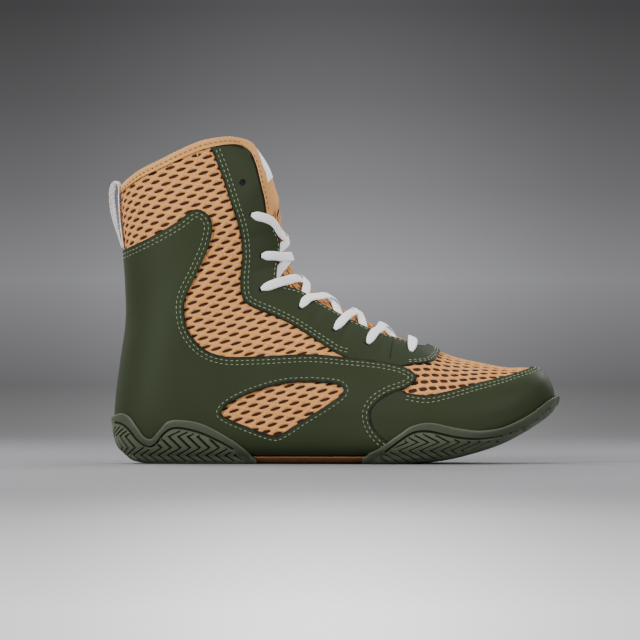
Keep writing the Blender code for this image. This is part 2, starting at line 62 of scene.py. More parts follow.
# Last sections from toe to collar: end points of each section on the side drawing, then in mm the outer,
# inner and ridge y, then where the section is widest (0 top, 1 base) and how square it is
SECTION_COLUMNS = ("top_x", "top_y", "base_x", "base_y", "outer", "inner", "ridge",
                   "belly", "top_power", "base_power")
SECTIONS = (
    (553.0, 394.0, 552.0, 402.5, 1.0, 16.5, 8.5, 0.55, 2.0, 2.2),
    (549.0, 382.5, 547.5, 409.0, -7.0, 24.5, 8.5, 0.60, 2.1, 2.6),
    (541.0, 371.5, 538.5, 416.5, -15.5, 31.5, 8.5, 0.62, 2.2, 3.2),
    (528.0, 368.0, 525.0, 424.5, -24.5, 38.0, 8.0, 0.64, 2.2, 4.0),
    (508.0, 367.8, 504.0, 434.0, -34.0, 43.5, 7.5, 0.66, 2.1, 4.5),
    (483.0, 363.5, 478.0, 442.5, -42.0, 47.3, 7.0, 0.68, 2.0, 5.0),
    (453.0, 356.5, 447.0, 450.0, -48.0, 49.5, 7.0, 0.70, 1.9, 5.0),
    (425.0, 344.5, 415.0, 454.0, -49.5, 48.7, 7.0, 0.70, 1.9, 5.0),
    (396.5, 332.0, 378.0, 456.0, -47.5, 45.0, 7.0, 0.70, 1.9, 5.0),
    (361.5, 314.3, 332.0, 456.5, -44.0, 41.0, 7.0, 0.70, 1.9, 5.0),
    (327.0, 296.0, 284.0, 456.5, -40.5, 38.5, 6.5, 0.70, 1.9, 5.0),
    (302.5, 278.5, 236.0, 456.0, -38.0, 37.5, 6.0, 0.68, 1.9, 5.0),
    (291.3, 258.7, 190.0, 455.5, -36.0, 37.0, 5.5, 0.64, 1.9, 4.5),
    (286.5, 239.5, 148.0, 454.0, -35.0, 36.5, 5.0, 0.60, 1.95, 3.6),
    (284.6, 222.0, 124.5, 446.0, -34.5, 36.5, 4.0, 0.56, 2.0, 2.8),
    (283.0, 208.0, 117.5, 425.0, -34.5, 36.5, 3.5, 0.54, 2.05, 2.4),
    (281.0, 193.0, 118.0, 398.0, -34.5, 36.5, 3.0, 0.52, 2.1, 2.25),
    (278.0, 181.0, 122.5, 362.0, -34.5, 36.5, 2.5, 0.50, 2.15, 2.2),
    (274.0, 169.5, 128.0, 322.0, -35.0, 37.0, 2.0, 0.48, 2.2, 2.15),
    (269.5, 160.5, 127.5, 284.0, -35.5, 37.5, 2.0, 0.48, 2.2, 2.15),
    (264.0, 152.0, 124.5, 243.0, -36.0, 38.0, 2.0, 0.48, 2.2, 2.15),
    (257.5, 143.5, 121.5, 205.0, -36.5, 38.5, 2.0, 0.48, 2.2, 2.15),
    (252.0, 136.0, 123.0, 182.0, -37.0, 39.0, 2.0, 0.48, 2.2, 2.15),
    (244.0, 121.0, 125.5, 158.0, -37.5, 39.5, 2.0, 0.48, 2.2, 2.15),
)
SECTION_TABLE = np.array(SECTIONS)
LAST_ROW = len(SECTIONS) - 1
NEIGHBOURS = (-1, 0, 1, 2)
SIDES = (-1, 1)

# Outlines on the side drawing
COLLAR_LINE = ((112, 197), (124, 184), (140, 171), (160, 161), (180, 151), (200, 142.5), (216, 138.8),
               (230, 137.5), (243, 139.5), (256, 146))
BINDING_DROP = 8.5
THROAT_EDGE = ((252, 136), (258, 154), (264, 173), (268, 190), (271, 207), (274, 226), (280, 241),
               (279.5, 256), (277.5, 270), (277.5, 280), (284, 285), (300, 290), (322, 303), (343, 315),
               (370, 328), (405, 340), (422, 345), (430, 343))
BINDING_FRONT = ((250, 153), (255, 164), (258, 174), (261, 187), (264, 200), (266, 214))
EYESTAY_BACK = ((212, 149), (222, 175), (232, 205), (240, 230), (243, 255), (241, 280), (242.5, 296),
                (250, 305.5), (275, 316), (295, 326), (318, 341), (336, 352.5))
EYESTAY_TOE = ((350, 355.8), (380, 359.5), (396, 362.8), (412, 363.5), (430, 361), (438, 355), (442, 347))
QUARTER_TOP = ((104, 259), (124, 250), (140, 243), (160, 233), (180, 221), (190, 213), (199, 210),
               (209, 216), (213, 228), (209, 248), (198, 273), (187, 296), (185, 313), (190, 332),
               (204, 348), (225, 356), (260, 356), (310, 354), (350, 357.5), (380, 361), (400, 365.5),
               (413, 372), (416, 379))
QUARTER_FRONT = ((406, 387), (390, 393), (376, 402), (370, 413), (373, 426), (381, 436), (391, 443))
STAY_SEAM = ((393, 338), (391, 349), (389.5, 358))
WINDOW = ((222, 411), (233, 401), (258, 390), (285, 383), (312, 381.5), (337, 384), (343, 391), (332, 401),
          (305, 418), (284, 431.5), (272, 434.5), (245, 425), (226, 416.5))
TOE_CAP_TOP = ((403, 391), (425, 394.5), (445, 391), (475, 383), (505, 375.5), (525, 369.5), (536, 364),
               (545, 352))
HEEL_RIM = ((104, 419), (113, 415.5), (122, 413), (130, 417), (138, 428), (145, 437), (152, 438.5),
            (160, 430), (168, 421.5), (180, 419.5), (200, 422.5), (220, 432), (240, 445), (257.5, 462.5))
HEEL_GROOVE = ((104, 422), (120, 423), (129, 429), (138, 440), (148, 446.5), (156, 444), (166, 432),
               (178, 427.5), (200, 432), (220, 441), (234, 449))
FOREFOOT_RIM = ((362.5, 462.5), (363, 458), (380, 447), (400, 432.5), (412, 425), (430, 422), (455, 427),
                (480, 430), (505, 426), (530, 414), (550, 399.5), (568, 392))
FOREFOOT_GROOVE = ((384, 452), (400, 439.5), (414, 431.5), (430, 431), (455, 436.5), (480, 438.5),
                   (505, 434.5), (530, 424), (550, 408), (566, 398))
TONGUE_EDGE = ((440, 366), (400, 356), (370, 345), (343, 332), (322, 320), (300, 308), (278, 302),
               (264, 292), (262, 270), (264, 248), (258, 228), (252, 205), (246, 180), (240, 160),
               (237, 144))
LOOP_PATH = ((124.2, 248), (122.4, 236), (120.8, 222), (119.6, 206), (119.3, 196), (119.8, 188),
             (118.0, 182.6), (114.8, 182.8), (112.3, 189), (111.8, 198), (113.4, 212), (116.6, 226),
             (120.2, 238), (122.6, 247))
ARCH_RUN = (206, 380)
EYELETS = ((411, 350.5), (368, 343), (335, 329), (301, 307), (261.5, 289), (262, 256), (252, 215))
TOP_EYELET = (243, 183)

# Chevron grooves of the tread: drawing height, then the sideways run of the groove at that height
HEEL_ZIGZAG = ((426, 21), (436, 0), (447.5, 12), (455, -1.5), (463.5, 11.5))
HEEL_PITCH = 9.7
FOREFOOT_ZIGZAG = ((408, -22), (419, 0), (430, -22), (441.5, 0), (450, -19), (462, 3))
FOREFOOT_PITCH = 10.5

# Soft troughs where the laces draw the eyestay in: ends on the side drawing, half width and depth in mm
CREASES = (
    ((323, 304), (314, 320), 4.0, 0.40),
    ((351, 319), (343, 337), 4.0, 0.40),
    ((384, 334), (380, 351), 4.0, 0.35),
    ((272, 268), (256, 271), 4.5, 0.30),
    ((270, 236), (250, 238), 5.0, 0.30),
)
CREASE_FALL = 1.6


def linear(code):
    """Linear colour of an sRGB hex code."""
    parts = [int(code[i:i + 2], 16) / 255 for i in (1, 3, 5)]
    return tuple(c / 12.92 if c <= 0.04045 else ((c + 0.055) / 1.055) ** 2.4 for c in parts)


def colour_setting(name, description, code):
    """Colour property with an sRGB hex default."""
    return FloatVectorProperty(name=name, description=description, subtype="COLOR", size=3, min=0, max=1,
                               default=linear(code))


def length_setting(name, description, millimetres):
    """Length property with a default in millimetres."""
    return FloatProperty(name=name, description=description, unit="LENGTH", precision=5, min=0,
                         default=millimetres * MM)


class ShoeSizes(bpy.types.PropertyGroup):
    """Sizes of the dressed shoe."""
    lining: length_setting("Lining", "Thickness of the lining behind the knit", 1.0)
    hole_length: length_setting("Hole length", "Length of a knit opening", 6.9)
    hole_width: length_setting("Hole width", "Width of a knit opening", 1.9)
    stitch_length: length_setting("Stitch length", "Length of one stitch", 2.2)
    stitch_pitch: length_setting("Stitch pitch", "Distance from one stitch to the next", 3.4)
    stitch_width: length_setting("Stitch width", "Thickness of the sewing thread", 0.50)
    row_gap: length_setting("Row gap", "Distance between two stitch rows", 2.5)
    edge_gap: length_setting("Edge gap", "Distance from a panel edge to its first stitch row", 2.5)
    lace_width: length_setting("Lace width", "Width of the flat lace", 6.0)
    lace_thickness: length_setting("Lace thickness", "Thickness of the flat lace", 1.4)
    binding_width: length_setting("Binding width", "Visible width of the collar edge tape", 5.6)
    groove_depth: length_setting("Groove depth", "Depth of the herringbone grooves", 0.9)


class ShoeColours(bpy.types.PropertyGroup):
    """Colours of the dressed shoe."""
    green: colour_setting("Overlay green", "Synthetic leather overlays", "#313924")
    green_edge: colour_setting("Overlay shade", "Darker tone of the overlays", "#282F1C")
    # Cut edge: the overlays' raw edge colour, made darker to paint the shade at their step
    cut_edge_shade: colour_setting("Cut edge", "Raw edge of the overlays", "#1E201B")
    # Crevice shade: painted shade in the eyestay's seam slit, beside the tape's edges and on the discs behind
    # the top eyelets
    crevice_shade: colour_setting("Crevice", "Seams and the cloth behind the eyelets", "#0B0B0C")
    tan: colour_setting("Knit tan", "Yarn of the mesh", "#E6AA6C")
    tan_shade: colour_setting("Knit shade", "Yarn in the hollows", "#BC7C3F")
    # Hole brown: the cloth behind the knit, darkened as painted shade in the openings
    hole: colour_setting("Hole brown", "Backing seen through the knit", "#3A2015")
    tape: colour_setting("Edge tape", "Collar tape and tongue", "#DC9E5A")
    white: colour_setting("White", "Lace and pull loop", "#F8F8FA")
    rubber: colour_setting("Rubber", "Cup sole", "#434A3A")
    arch: colour_setting("Arch", "Bridge under the waist", "#7A4C2C")
    thread: colour_setting("Thread", "Sewing thread", "#8B9C78")
    footbed: colour_setting("Footbed", "Insole cloth", "#3B3530")


# The last as a table: rows from toe to collar, and shares of the half girth from the outer base (-1) over
# the ridge (0) to the inner base (1), where the outer base is met again
ROW_STEP = 0.05
FINE_ROWS = np.arange(0, LAST_ROW + ROW_STEP / 2, ROW_STEP)
HALF_STEPS = 200
HALF_SHARES = np.linspace(0, 1, HALF_STEPS + 1)
QUADRANT_STEPS = 400
CROWDING = 4

# About how long a row and a share of 1 are on the shoe
ROW_SIZE = 20 * MM
SHARE_SIZE = 140 * MM

# Downward part of a normal where the underside begins, and the rise over which it takes over
UNDER_START = 0.85
UNDER_BLEND = 0.14


def blended(before, start, end, after, t):
    """Smooth values from start to end, with slopes taken from the neighbours."""
    slope_start, slope_end, rise = 0.5 * (end - before), 0.5 * (after - start), end - start
    return start + t * (slope_start + t * (3 * rise - 2 * slope_start - slope_end
                                           + t * (slope_start + slope_end - 2 * rise)))


def run_along(points):
    """Distance run along a line up to each of its points."""
    return np.concatenate(([0], np.cumsum(np.linalg.norm(np.diff(points, axis=0), axis=1))))


def unit(vectors):
    """Vectors scaled to a length of one."""
    return vectors / np.maximum(np.linalg.norm(vectors, axis=-1, keepdims=True), 1e-12)


def section(rows):
    """Section columns at fractional rows."""
    index = np.minimum(rows.astype(int), LAST_ROW - 1)
    near = (SECTION_TABLE[np.clip(index + k, 0, LAST_ROW)] for k in NEIGHBOURS)
    return dict(zip(SECTION_COLUMNS, blended(*near, (rows - index)[:, None]).T))


def half_sections(side):
    """Points and drops of every fine row on one side, evenly spaced round the half girth."""
    s = {name: column[:, None] for name, column in section(FINE_ROWS).items()}
    t = np.linspace(0, 1, QUADRANT_STEPS)
    warp = 0.5 * math.pi * t ** CROWDING / (t ** CROWDING + (1 - t) ** CROWDING)
    angle = np.concatenate((warp, 0.5 * math.pi + warp[1:]))[None, :]
    top = np.arange(angle.size)[None, :] < t.size
    power = np.where(top, s["top_power"], s["base_power"])
    width = np.abs(np.sin(angle)) ** (2 / power)
    reach = np.abs(np.cos(angle)) ** (2 / power)
    drop = np.where(top, s["belly"] * (1 - reach), s["belly"] + (1 - s["belly"]) * reach)
    x = (s["top_x"] + drop * (s["base_x"] - s["top_x"]) - DRAWING_MIDDLE) * UNIT
    z = (FLOOR_LINE - s["top_y"] - drop * (s["base_y"] - s["top_y"])) * UNIT
    edge = s["outer"] if side < 0 else s["inner"]
    y = (s["ridge"] + (edge - s["ridge"]) * width) * MM
    points = np.stack((x, y, z), -1)
    run = np.cumsum(np.linalg.norm(np.diff(points, axis=1, prepend=points[:, :1]), axis=2), axis=1)
    run /= run[:, -1:]
    even = np.empty((len(FINE_ROWS), HALF_STEPS + 1, 3))
    drops = np.empty((len(FINE_ROWS), HALF_STEPS + 1))
    for i in range(len(FINE_ROWS)):
        drops[i] = np.interp(HALF_SHARES, run[i], drop[i])
        for k in range(3):
            even[i, :, k] = np.interp(HALF_SHARES, run[i], points[i, :, k])
    return even, drops


def last_tables():
    """Points and outward normals of the last on the fine table, and the drops of both sides."""
    outer, outer_drops = half_sections(-1)
    inner, inner_drops = half_sections(1)
    points = np.concatenate((outer[:, :0:-1], inner[:, :-1]), axis=1)
    along = np.gradient(points, axis=0)
    around = np.roll(points, -1, axis=1) - np.roll(points, 1, axis=1)
    return points, unit(np.cross(around, along)), {-1: outer_drops, 1: inner_drops}


LAST_POINTS, LAST_NORMALS, LAST_DROPS = last_tables()
FINE_ENDS = section(FINE_ROWS)


def from_table(table, rows, shares):
    """Values of a fine table between its rows and shares."""
    r = np.clip(np.asarray(rows, float) / ROW_STEP, 0, len(FINE_ROWS) - 1.001)
    c = ((np.asarray(shares, float) + 1) % 2) * HALF_STEPS
    i, k = r.astype(int), c.astype(int)
    fr, fc = (r - i)[..., None], (c - k)[..., None]
    columns = table.shape[1]
    k, n = k % columns, (k + 1) % columns
    return ((table[i, k] * (1 - fc) + table[i, n] * fc) * (1 - fr)
            + (table[i + 1, k] * (1 - fc) + table[i + 1, n] * fc) * fr)


def normals_at(rows, shares):
    """Outward normals of the last."""
    return unit(from_table(LAST_NORMALS, rows, shares))


def lifted(rows, shares, lift, under=None):
    """Points at a distance from the last: lift at its sides, under below it."""
    normals = normals_at(rows, shares)
    distance = np.broadcast_to(np.asarray(lift, float), np.shape(rows))
    if under is not None:
        t = np.clip((-normals[..., 2] - UNDER_START) / UNDER_BLEND, 0, 1)
        distance = distance + (under - distance) * t * t * (3 - 2 * t)
    return from_table(LAST_POINTS, rows, shares) + normals * distance[..., None]


def to_drawing(points):
    """Side drawing places of points in space."""
    return np.stack((points[..., 0] / UNIT + DRAWING_MIDDLE, FLOOR_LINE - points[..., 2] / UNIT), -1)


OUTSIDE_COST = 100
MISS_COST = 50


def locate_on_last(points, side):
    """Rows and shares of the last straight behind side drawing points."""
    dx = FINE_ENDS["base_x"] - FINE_ENDS["top_x"]
    dy = FINE_ENDS["base_y"] - FINE_ENDS["top_y"]
    length = np.hypot(dx, dy)
    px = points[:, :1] - FINE_ENDS["top_x"]
    py = points[:, 1:] - FINE_ENDS["top_y"]
    drop = (px * dx + py * dy) / length ** 2
    away = (px * dy - py * dx) / length
    crosses = away[:, :-1] * away[:, 1:] <= 0
    outside = np.abs(drop - np.clip(drop, 0, 1))[:, :-1]
    cost = outside * OUTSIDE_COST + np.where(crosses, 0, MISS_COST + np.abs(away[:, :-1]))
    k = np.argmin(cost, axis=1)
    n = np.arange(len(points))
    low, high = away[n, k], away[n, k + 1]
    apart = np.where(np.abs(low - high) < 1e-9, 1, low - high)
    t = np.clip(low / apart, 0, 1)
    rows = FINE_ROWS[k] + t * ROW_STEP
    drops = np.clip(drop[n, k] * (1 - t) + drop[n, k + 1] * t, 0, 1)
    table = LAST_DROPS[side]
    shares = np.array([np.interp(d, table[i] * (1 - f) + table[i + 1] * f, HALF_SHARES)
                       for d, i, f in zip(drops, k, t)])
    return rows, side * shares


SEEN_SHARES = np.linspace(0.002, 0.998, 250)
SEEN_SLANT = 0.02
FORM_TREES = {}

# Search for a place: steps that measure the slopes, largest moves of one round, rounds, and the smallest
# area of drawing per row and share that still gives a sure move
ROW_NUDGE, SHARE_NUDGE = 0.03, 0.002
ROW_MOVE, SHARE_MOVE = 0.04, 0.004
SEARCH_ROUNDS = 5
SURE_AREA = 20


def form_tree(side, lift, under):
    """Search tree of a lifted form's seen points on one side, laid on the side drawing."""
    key = (side, lift, under)
    if key not in FORM_TREES:
        rows, shares = np.meshgrid(FINE_ROWS, side * SEEN_SHARES, indexing="ij")
        rows, shares = rows.ravel(), shares.ravel()
        keep = normals_at(rows, shares)[:, 1] * side > SEEN_SLANT
        rows, shares = rows[keep], shares[keep]
        places = to_drawing(lifted(rows, shares, lift, under))
        tree = KDTree(len(places))
        for i, (x, y) in enumerate(places):
            tree.insert((x, y, 0), i)
        tree.balance()
        FORM_TREES[key] = (tree, rows, shares)
    return FORM_TREES[key]


def locate(points, side, lift=0.0, under=None):
    """Rows and shares whose lifted surface lies behind side drawing points."""
    goal = np.asarray(points, float).reshape(-1, 2)
    if not lift:
        return locate_on_last(goal, side)

    def drawn(at_rows, at_shares):
        return to_drawing(lifted(at_rows, at_shares, lift, under))

    tree, near_rows, near_shares = form_tree(side, lift, under)
    found = [tree.find((x, y, 0))[1] for x, y in goal]
    rows, shares = near_rows[found], near_shares[found]
    for _ in range(SEARCH_ROUNDS):
        miss = goal - drawn(rows, shares)
        by_row = (drawn(rows + ROW_NUDGE, shares) - drawn(rows - ROW_NUDGE, shares)) / (2 * ROW_NUDGE)
        by_share = (drawn(rows, shares + SHARE_NUDGE) - drawn(rows, shares - SHARE_NUDGE)) / (2 * SHARE_NUDGE)
        area = by_row[:, 0] * by_share[:, 1] - by_row[:, 1] * by_share[:, 0]
        area = np.where(np.abs(area) < SURE_AREA, np.inf, area)
        move_row = (miss[:, 0] * by_share[:, 1] - miss[:, 1] * by_share[:, 0]) / area
        move_share = (miss[:, 1] * by_row[:, 0] - miss[:, 0] * by_row[:, 1]) / area
        rows = np.clip(rows + np.clip(move_row, -ROW_MOVE, ROW_MOVE), 0, LAST_ROW)
        shares = side * np.clip(np.abs(shares + np.clip(move_share, -SHARE_MOVE, SHARE_MOVE)), 0, 1)
    return rows, shares


def unrolled(points, side, seam, lift=0.0, under=None):
    """Side drawing line as (row, share) pairs: a seam of 1 joins the sides at the back, 0 at the ridge."""
    rows, shares = locate(points, side, lift, under)
    if seam and side > 0:
        shares = shares - 2
    return np.stack((rows, shares), -1)


def flowing(points, step=1.2, closed=False):
    """Smooth line through side drawing points."""
    points = np.asarray(points, float)
    count = len(points)
    line = []
    for i in range(count if closed else count - 1):
        near = points[[(i + k) % count if closed else min(max(i + k, 0), count - 1) for k in NEIGHBOURS]]
        number = max(int(math.ceil(np.linalg.norm(near[2] - near[1]) / step)), 1)
        line.append(blended(*near, (np.arange(number) / number)[:, None]))
    if not closed:
        line.append(points[-1:])
    return np.concatenate(line)


def moved_line(points, distance):
    """Line moved sideways by drawing units, to the right hand of its run on the drawing."""
    run = unit(np.gradient(np.asarray(points, float), axis=0))
    return points + np.stack((-run[:, 1], run[:, 0]), -1) * distance


BASE_ROWS = np.arange(0.6, 13.5, 0.2)


def base_line(lift):
    """Side drawing line of the last's base from toe to heel, raised by a length in metres."""
    ends = section(BASE_ROWS)
    return np.stack((ends["base_x"], ends["base_y"] - lift / UNIT), -1)


def within(line, low=-math.inf, high=math.inf):
    """Points of a side drawing line whose x lies between two values."""
    return line[(line[:, 0] > low) & (line[:, 0] < high)]


def evenly(points, step):
    """Line sampled again at even steps."""
    run = run_along(points)
    goal = np.linspace(0, run[-1], max(int(round(run[-1] / step)), 1) + 1)
    return np.stack([np.interp(goal, run, column) for column in points.T], -1)


def inside(points, loop):
    """True for points inside a closed loop."""
    result = np.zeros(len(points), bool)
    for (ax, ay), (bx, by) in zip(loop, np.roll(loop, -1, axis=0)):
        if ay == by:
            continue
        between = (points[:, 1] < ay) != (points[:, 1] < by)
        result ^= between & (points[:, 0] < (bx - ax) * (points[:, 1] - ay) / (by - ay) + ax)
    return result


def away_from(points, line, closed=True):
    """Distance of points from a line."""
    start = line if closed else line[:-1]
    run = (np.roll(line, -1, axis=0) - line) if closed else np.diff(line, axis=0)
    square = np.maximum((run ** 2).sum(axis=1), 1e-18)
    best = np.full(len(points), np.inf)
    for begin, vector, size in zip(start, run, square):
        offset = points - begin
        t = np.clip(offset @ vector / size, 0, 1)
        best = np.minimum(best, np.linalg.norm(offset - t[:, None] * vector, axis=1))
    return best


def crease_depth(rows, shares):
    """Depth of the soft troughs at places on the last."""
    places = to_drawing(from_table(LAST_POINTS, rows, shares))
    depth = np.zeros(len(places))
    for start, end, half, deep in CREASES:
        line = np.array((start, end), float)
        share = away_from(places, line, closed=False) * UNIT / (half * MM)
        depth += deep * MM * np.exp(-(share * CREASE_FALL) ** 2)
    return depth


SLIDE_ROW, SLIDE_SHARE = 0.1, 0.01


def slide(rows, shares, vectors):
    """Rows and shares after moving along the last by vectors in space."""
    by_row = (from_table(LAST_POINTS, rows + SLIDE_ROW, shares)
              - from_table(LAST_POINTS, rows - SLIDE_ROW, shares))
    by_share = (from_table(LAST_POINTS, rows, shares + SLIDE_SHARE)
                - from_table(LAST_POINTS, rows, shares - SLIDE_SHARE))
    by_row /= 2 * SLIDE_ROW
    by_share /= 2 * SLIDE_SHARE
    rr, rs, ss = (by_row ** 2).sum(-1), (by_row * by_share).sum(-1), (by_share ** 2).sum(-1)
    vr, vs = (by_row * vectors).sum(-1), (by_share * vectors).sum(-1)
    area = np.maximum(rr * ss - rs * rs, 1e-18)
    return rows + (vr * ss - vs * rs) / area, shares + (vs * rr - vr * rs) / area


def add(tree, kind, values=None, links=None, **settings):
    """Adds a node with its settings, input values and links."""
    node = tree.nodes.new(kind)
    for name, value in settings.items():
        setattr(node, name, value)
    for key, value in (values or {}).items():
        node.inputs[key].default_value = value
    for key, socket in (links or {}).items():
        tree.links.new(socket, node.inputs[key])
    return node


# Colour sockets of the mix node: its factor, its two colours and its result
FACTOR, FIRST, SECOND, MIXED = 0, 6, 7, 2

# A wave texture draws about 3.2 bands per unit at a scale of 1. This divisor makes a band two threads
# wide, because single threads are too fine to show
THREADS_TO_WAVES = 6.3


def start_material(name, roughness, colour=None, **sockets):
    """New material, with what is the same all over set on the shader's own sockets."""
    material = bpy.data.materials.new(name)
    material.use_nodes = True
    shader = material.node_tree.nodes["Principled BSDF"]
    shader.inputs["Roughness"].default_value = roughness
    if colour is not None:
        shader.inputs["Base Color"].default_value = (*colour, 1)
    for key, value in sockets.items():
        shader.inputs[key.replace("_", " ")].default_value = value
    return material, material.node_tree, shader


def per_metre(millimetres):
    """Texture scale whose features are about this size."""
    return 1 / (millimetres * MM)


def toned(colour, share):
    """Colour made darker or paler by a share."""
    return tuple(min(c * share, 1.0) for c in colour)


def leather_finish(name, colours):
    """Matt synthetic leather: pebble, tone shifts, soft sheen, dark cut edges and painted shade at seams and
    steps.
    """
    material, tree, shader = start_material(name, 0.6, Specular_IOR_Level=0.14)
    place = add(tree, "ShaderNodeTexCoord").outputs["Object"]
    broad = add(tree, "ShaderNodeTexNoise", {"Scale": per_metre(55), "Detail": 3.0}, {"Vector": place})
    tone = add(tree, "ShaderNodeMix", {FIRST: (*colours.green_edge, 1), SECOND: (*colours.green, 1)},
               {FACTOR: broad.outputs["Fac"]}, data_type="RGBA").outputs[MIXED]
    # Cut edge band: the raw edge's colour, dark enough to also paint the shade at the overlay's step
    rim = add(tree, "ShaderNodeAttribute", attribute_name="rim").outputs["Fac"]
    cut = add(tree, "ShaderNodeMapRange", {"From Min": 0.30, "From Max": 0.60}, {"Value": rim})
    # Seam mark: painted shade, near black, in the eyestay's seam slit and beside the tape's edges
    seam = add(tree, "ShaderNodeAttribute", attribute_name="seam").outputs["Fac"]
    for mark, colour in ((cut.outputs["Result"], colours.cut_edge_shade), (seam, colours.crevice_shade)):
        tone = add(tree, "ShaderNodeMix", {SECOND: (*colour, 1)}, {FACTOR: mark, FIRST: tone},
                   data_type="RGBA").outputs[MIXED]
    tree.links.new(tone, shader.inputs["Base Color"])
    pebble = add(tree, "ShaderNodeTexVoronoi", {"Scale": per_metre(0.75)}, {"Vector": place},
                 feature="SMOOTH_F1")
    fine = add(tree, "ShaderNodeTexNoise", {"Scale": per_metre(0.35), "Detail": 2.0}, {"Vector": place})
    grain = add(tree, "ShaderNodeBump", {"Strength": 0.16, "Distance": 0.10 * MM},
                {"Height": pebble.outputs["Distance"]})
    grain = add(tree, "ShaderNodeBump", {"Strength": 0.10, "Distance": 0.06 * MM},
                {"Height": fine.outputs["Fac"], "Normal": grain.outputs["Normal"]})
    tree.links.new(grain.outputs["Normal"], shader.inputs["Normal"])
    gloss = add(tree, "ShaderNodeMapRange", {"To Min": 0.50, "To Max": 0.64}, {"Value": broad.outputs["Fac"]})
    tree.links.new(gloss.outputs["Result"], shader.inputs["Roughness"])
    return material


def knit_finish(name, colours):
    """Knitted mesh: fuzzy tan yarn ribs, painted shade on their flanks, and brown with painted shade in the
    openings.
    """
    material, tree, shader = start_material(name, 0.88, Sheen_Weight=0.04, Sheen_Roughness=0.5,
                                            Specular_IOR_Level=0.25)
    place = add(tree, "ShaderNodeTexCoord").outputs["Object"]
    pit = add(tree, "ShaderNodeAttribute", attribute_name="pit").outputs["Fac"]
    yarn = add(tree, "ShaderNodeTexNoise", {"Scale": per_metre(0.9), "Detail": 4.0, "Roughness": 0.65},
               {"Vector": place}).outputs["Fac"]
    mottle = add(tree, "ShaderNodeMapRange", {"From Min": 0.32, "From Max": 0.68}, {"Value": yarn})
    tone = add(tree, "ShaderNodeMix", {FIRST: (*colours.tan_shade, 1), SECOND: (*colours.tan, 1)},
               {FACTOR: mottle.outputs["Result"]}, data_type="RGBA").outputs[MIXED]
    # Painted shade: the flanks darken towards each opening, and the opening takes the cloth's brown darkened
    # as shade
    flank_shade = add(tree, "ShaderNodeMapRange", {"From Min": 0.05, "From Max": 0.34, "To Max": 0.55},
                {"Value": pit})
    edge = add(tree, "ShaderNodeMapRange", {"From Min": 0.30, "From Max": 0.62}, {"Value": pit},
               interpolation_type="SMOOTHSTEP")
    for mark, colour in ((flank_shade, colours.tan_shade), (edge, colours.hole)):
        tone = add(tree, "ShaderNodeMix", {SECOND: (*colour, 1)},
                   {FACTOR: mark.outputs["Result"], FIRST: tone}, data_type="RGBA").outputs[MIXED]
    tree.links.new(tone, shader.inputs["Base Color"])
    loops = add(tree, "ShaderNodeTexVoronoi", {"Scale": per_metre(0.8)}, {"Vector": place},
                feature="SMOOTH_F1")
    relief = add(tree, "ShaderNodeBump", {"Strength": 0.55, "Distance": 0.30 * MM},
                 {"Height": loops.outputs["Distance"]})
    relief = add(tree, "ShaderNodeBump", {"Strength": 0.45, "Distance": 0.20 * MM},
                 {"Height": yarn, "Normal": relief.outputs["Normal"]})
    tree.links.new(relief.outputs["Normal"], shader.inputs["Normal"])
    return material


def cloth_finish(name, colour, shade, thread):
    """Close woven cloth: crossed threads of one size, with small tone shifts and a soft nap."""
    material, tree, shader = start_material(name, 0.84, Sheen_Weight=0.03, Sheen_Roughness=0.5)
    place = add(tree, "ShaderNodeTexCoord").outputs["Object"]
    mottle = add(tree, "ShaderNodeTexNoise", {"Scale": per_metre(4), "Detail": 4.0}, {"Vector": place})
    tone = add(tree, "ShaderNodeMix", {FIRST: (*shade, 1), SECOND: (*colour, 1)},
               {FACTOR: mottle.outputs["Fac"]}, data_type="RGBA")
    tree.links.new(tone.outputs[MIXED], shader.inputs["Base Color"])
    below = {}
    for direction in ("X", "Z"):
        wave = add(tree, "ShaderNodeTexWave",
                   {"Scale": per_metre(thread) / THREADS_TO_WAVES, "Distortion": 0.6}, {"Vector": place},
                   bands_direction=direction)
        relief = add(tree, "ShaderNodeBump", {"Strength": 0.25, "Distance": 0.12 * MM},
                     {"Height": wave.outputs["Fac"], **below})
        below = {"Normal": relief.outputs["Normal"]}
    tree.links.new(below["Normal"], shader.inputs["Normal"])
    return material


def weave_finish(name, colour, rib):
    """Flat woven cord or tape: lengthwise ribs and small cross threads, laid along its own map."""
    material, tree, shader = start_material(name, 0.78, colour, Sheen_Weight=0.15, Sheen_Roughness=0.5)
    place = add(tree, "ShaderNodeUVMap", uv_map="weave").outputs["UV"]
    along = add(tree, "ShaderNodeTexWave", {"Scale": per_metre(rib) / THREADS_TO_WAVES}, {"Vector": place},
                bands_direction="Y")
    cross = add(tree, "ShaderNodeTexWave", {"Scale": per_metre(0.8) / THREADS_TO_WAVES, "Distortion": 1.2},
                {"Vector": place}, bands_direction="X")
    relief = add(tree, "ShaderNodeBump", {"Strength": 0.40, "Distance": 0.20 * MM},
                 {"Height": along.outputs["Fac"]})
    relief = add(tree, "ShaderNodeBump", {"Strength": 0.25, "Distance": 0.12 * MM},
                 {"Height": cross.outputs["Fac"], "Normal": relief.outputs["Normal"]})
    tree.links.new(relief.outputs["Normal"], shader.inputs["Normal"])
    return material


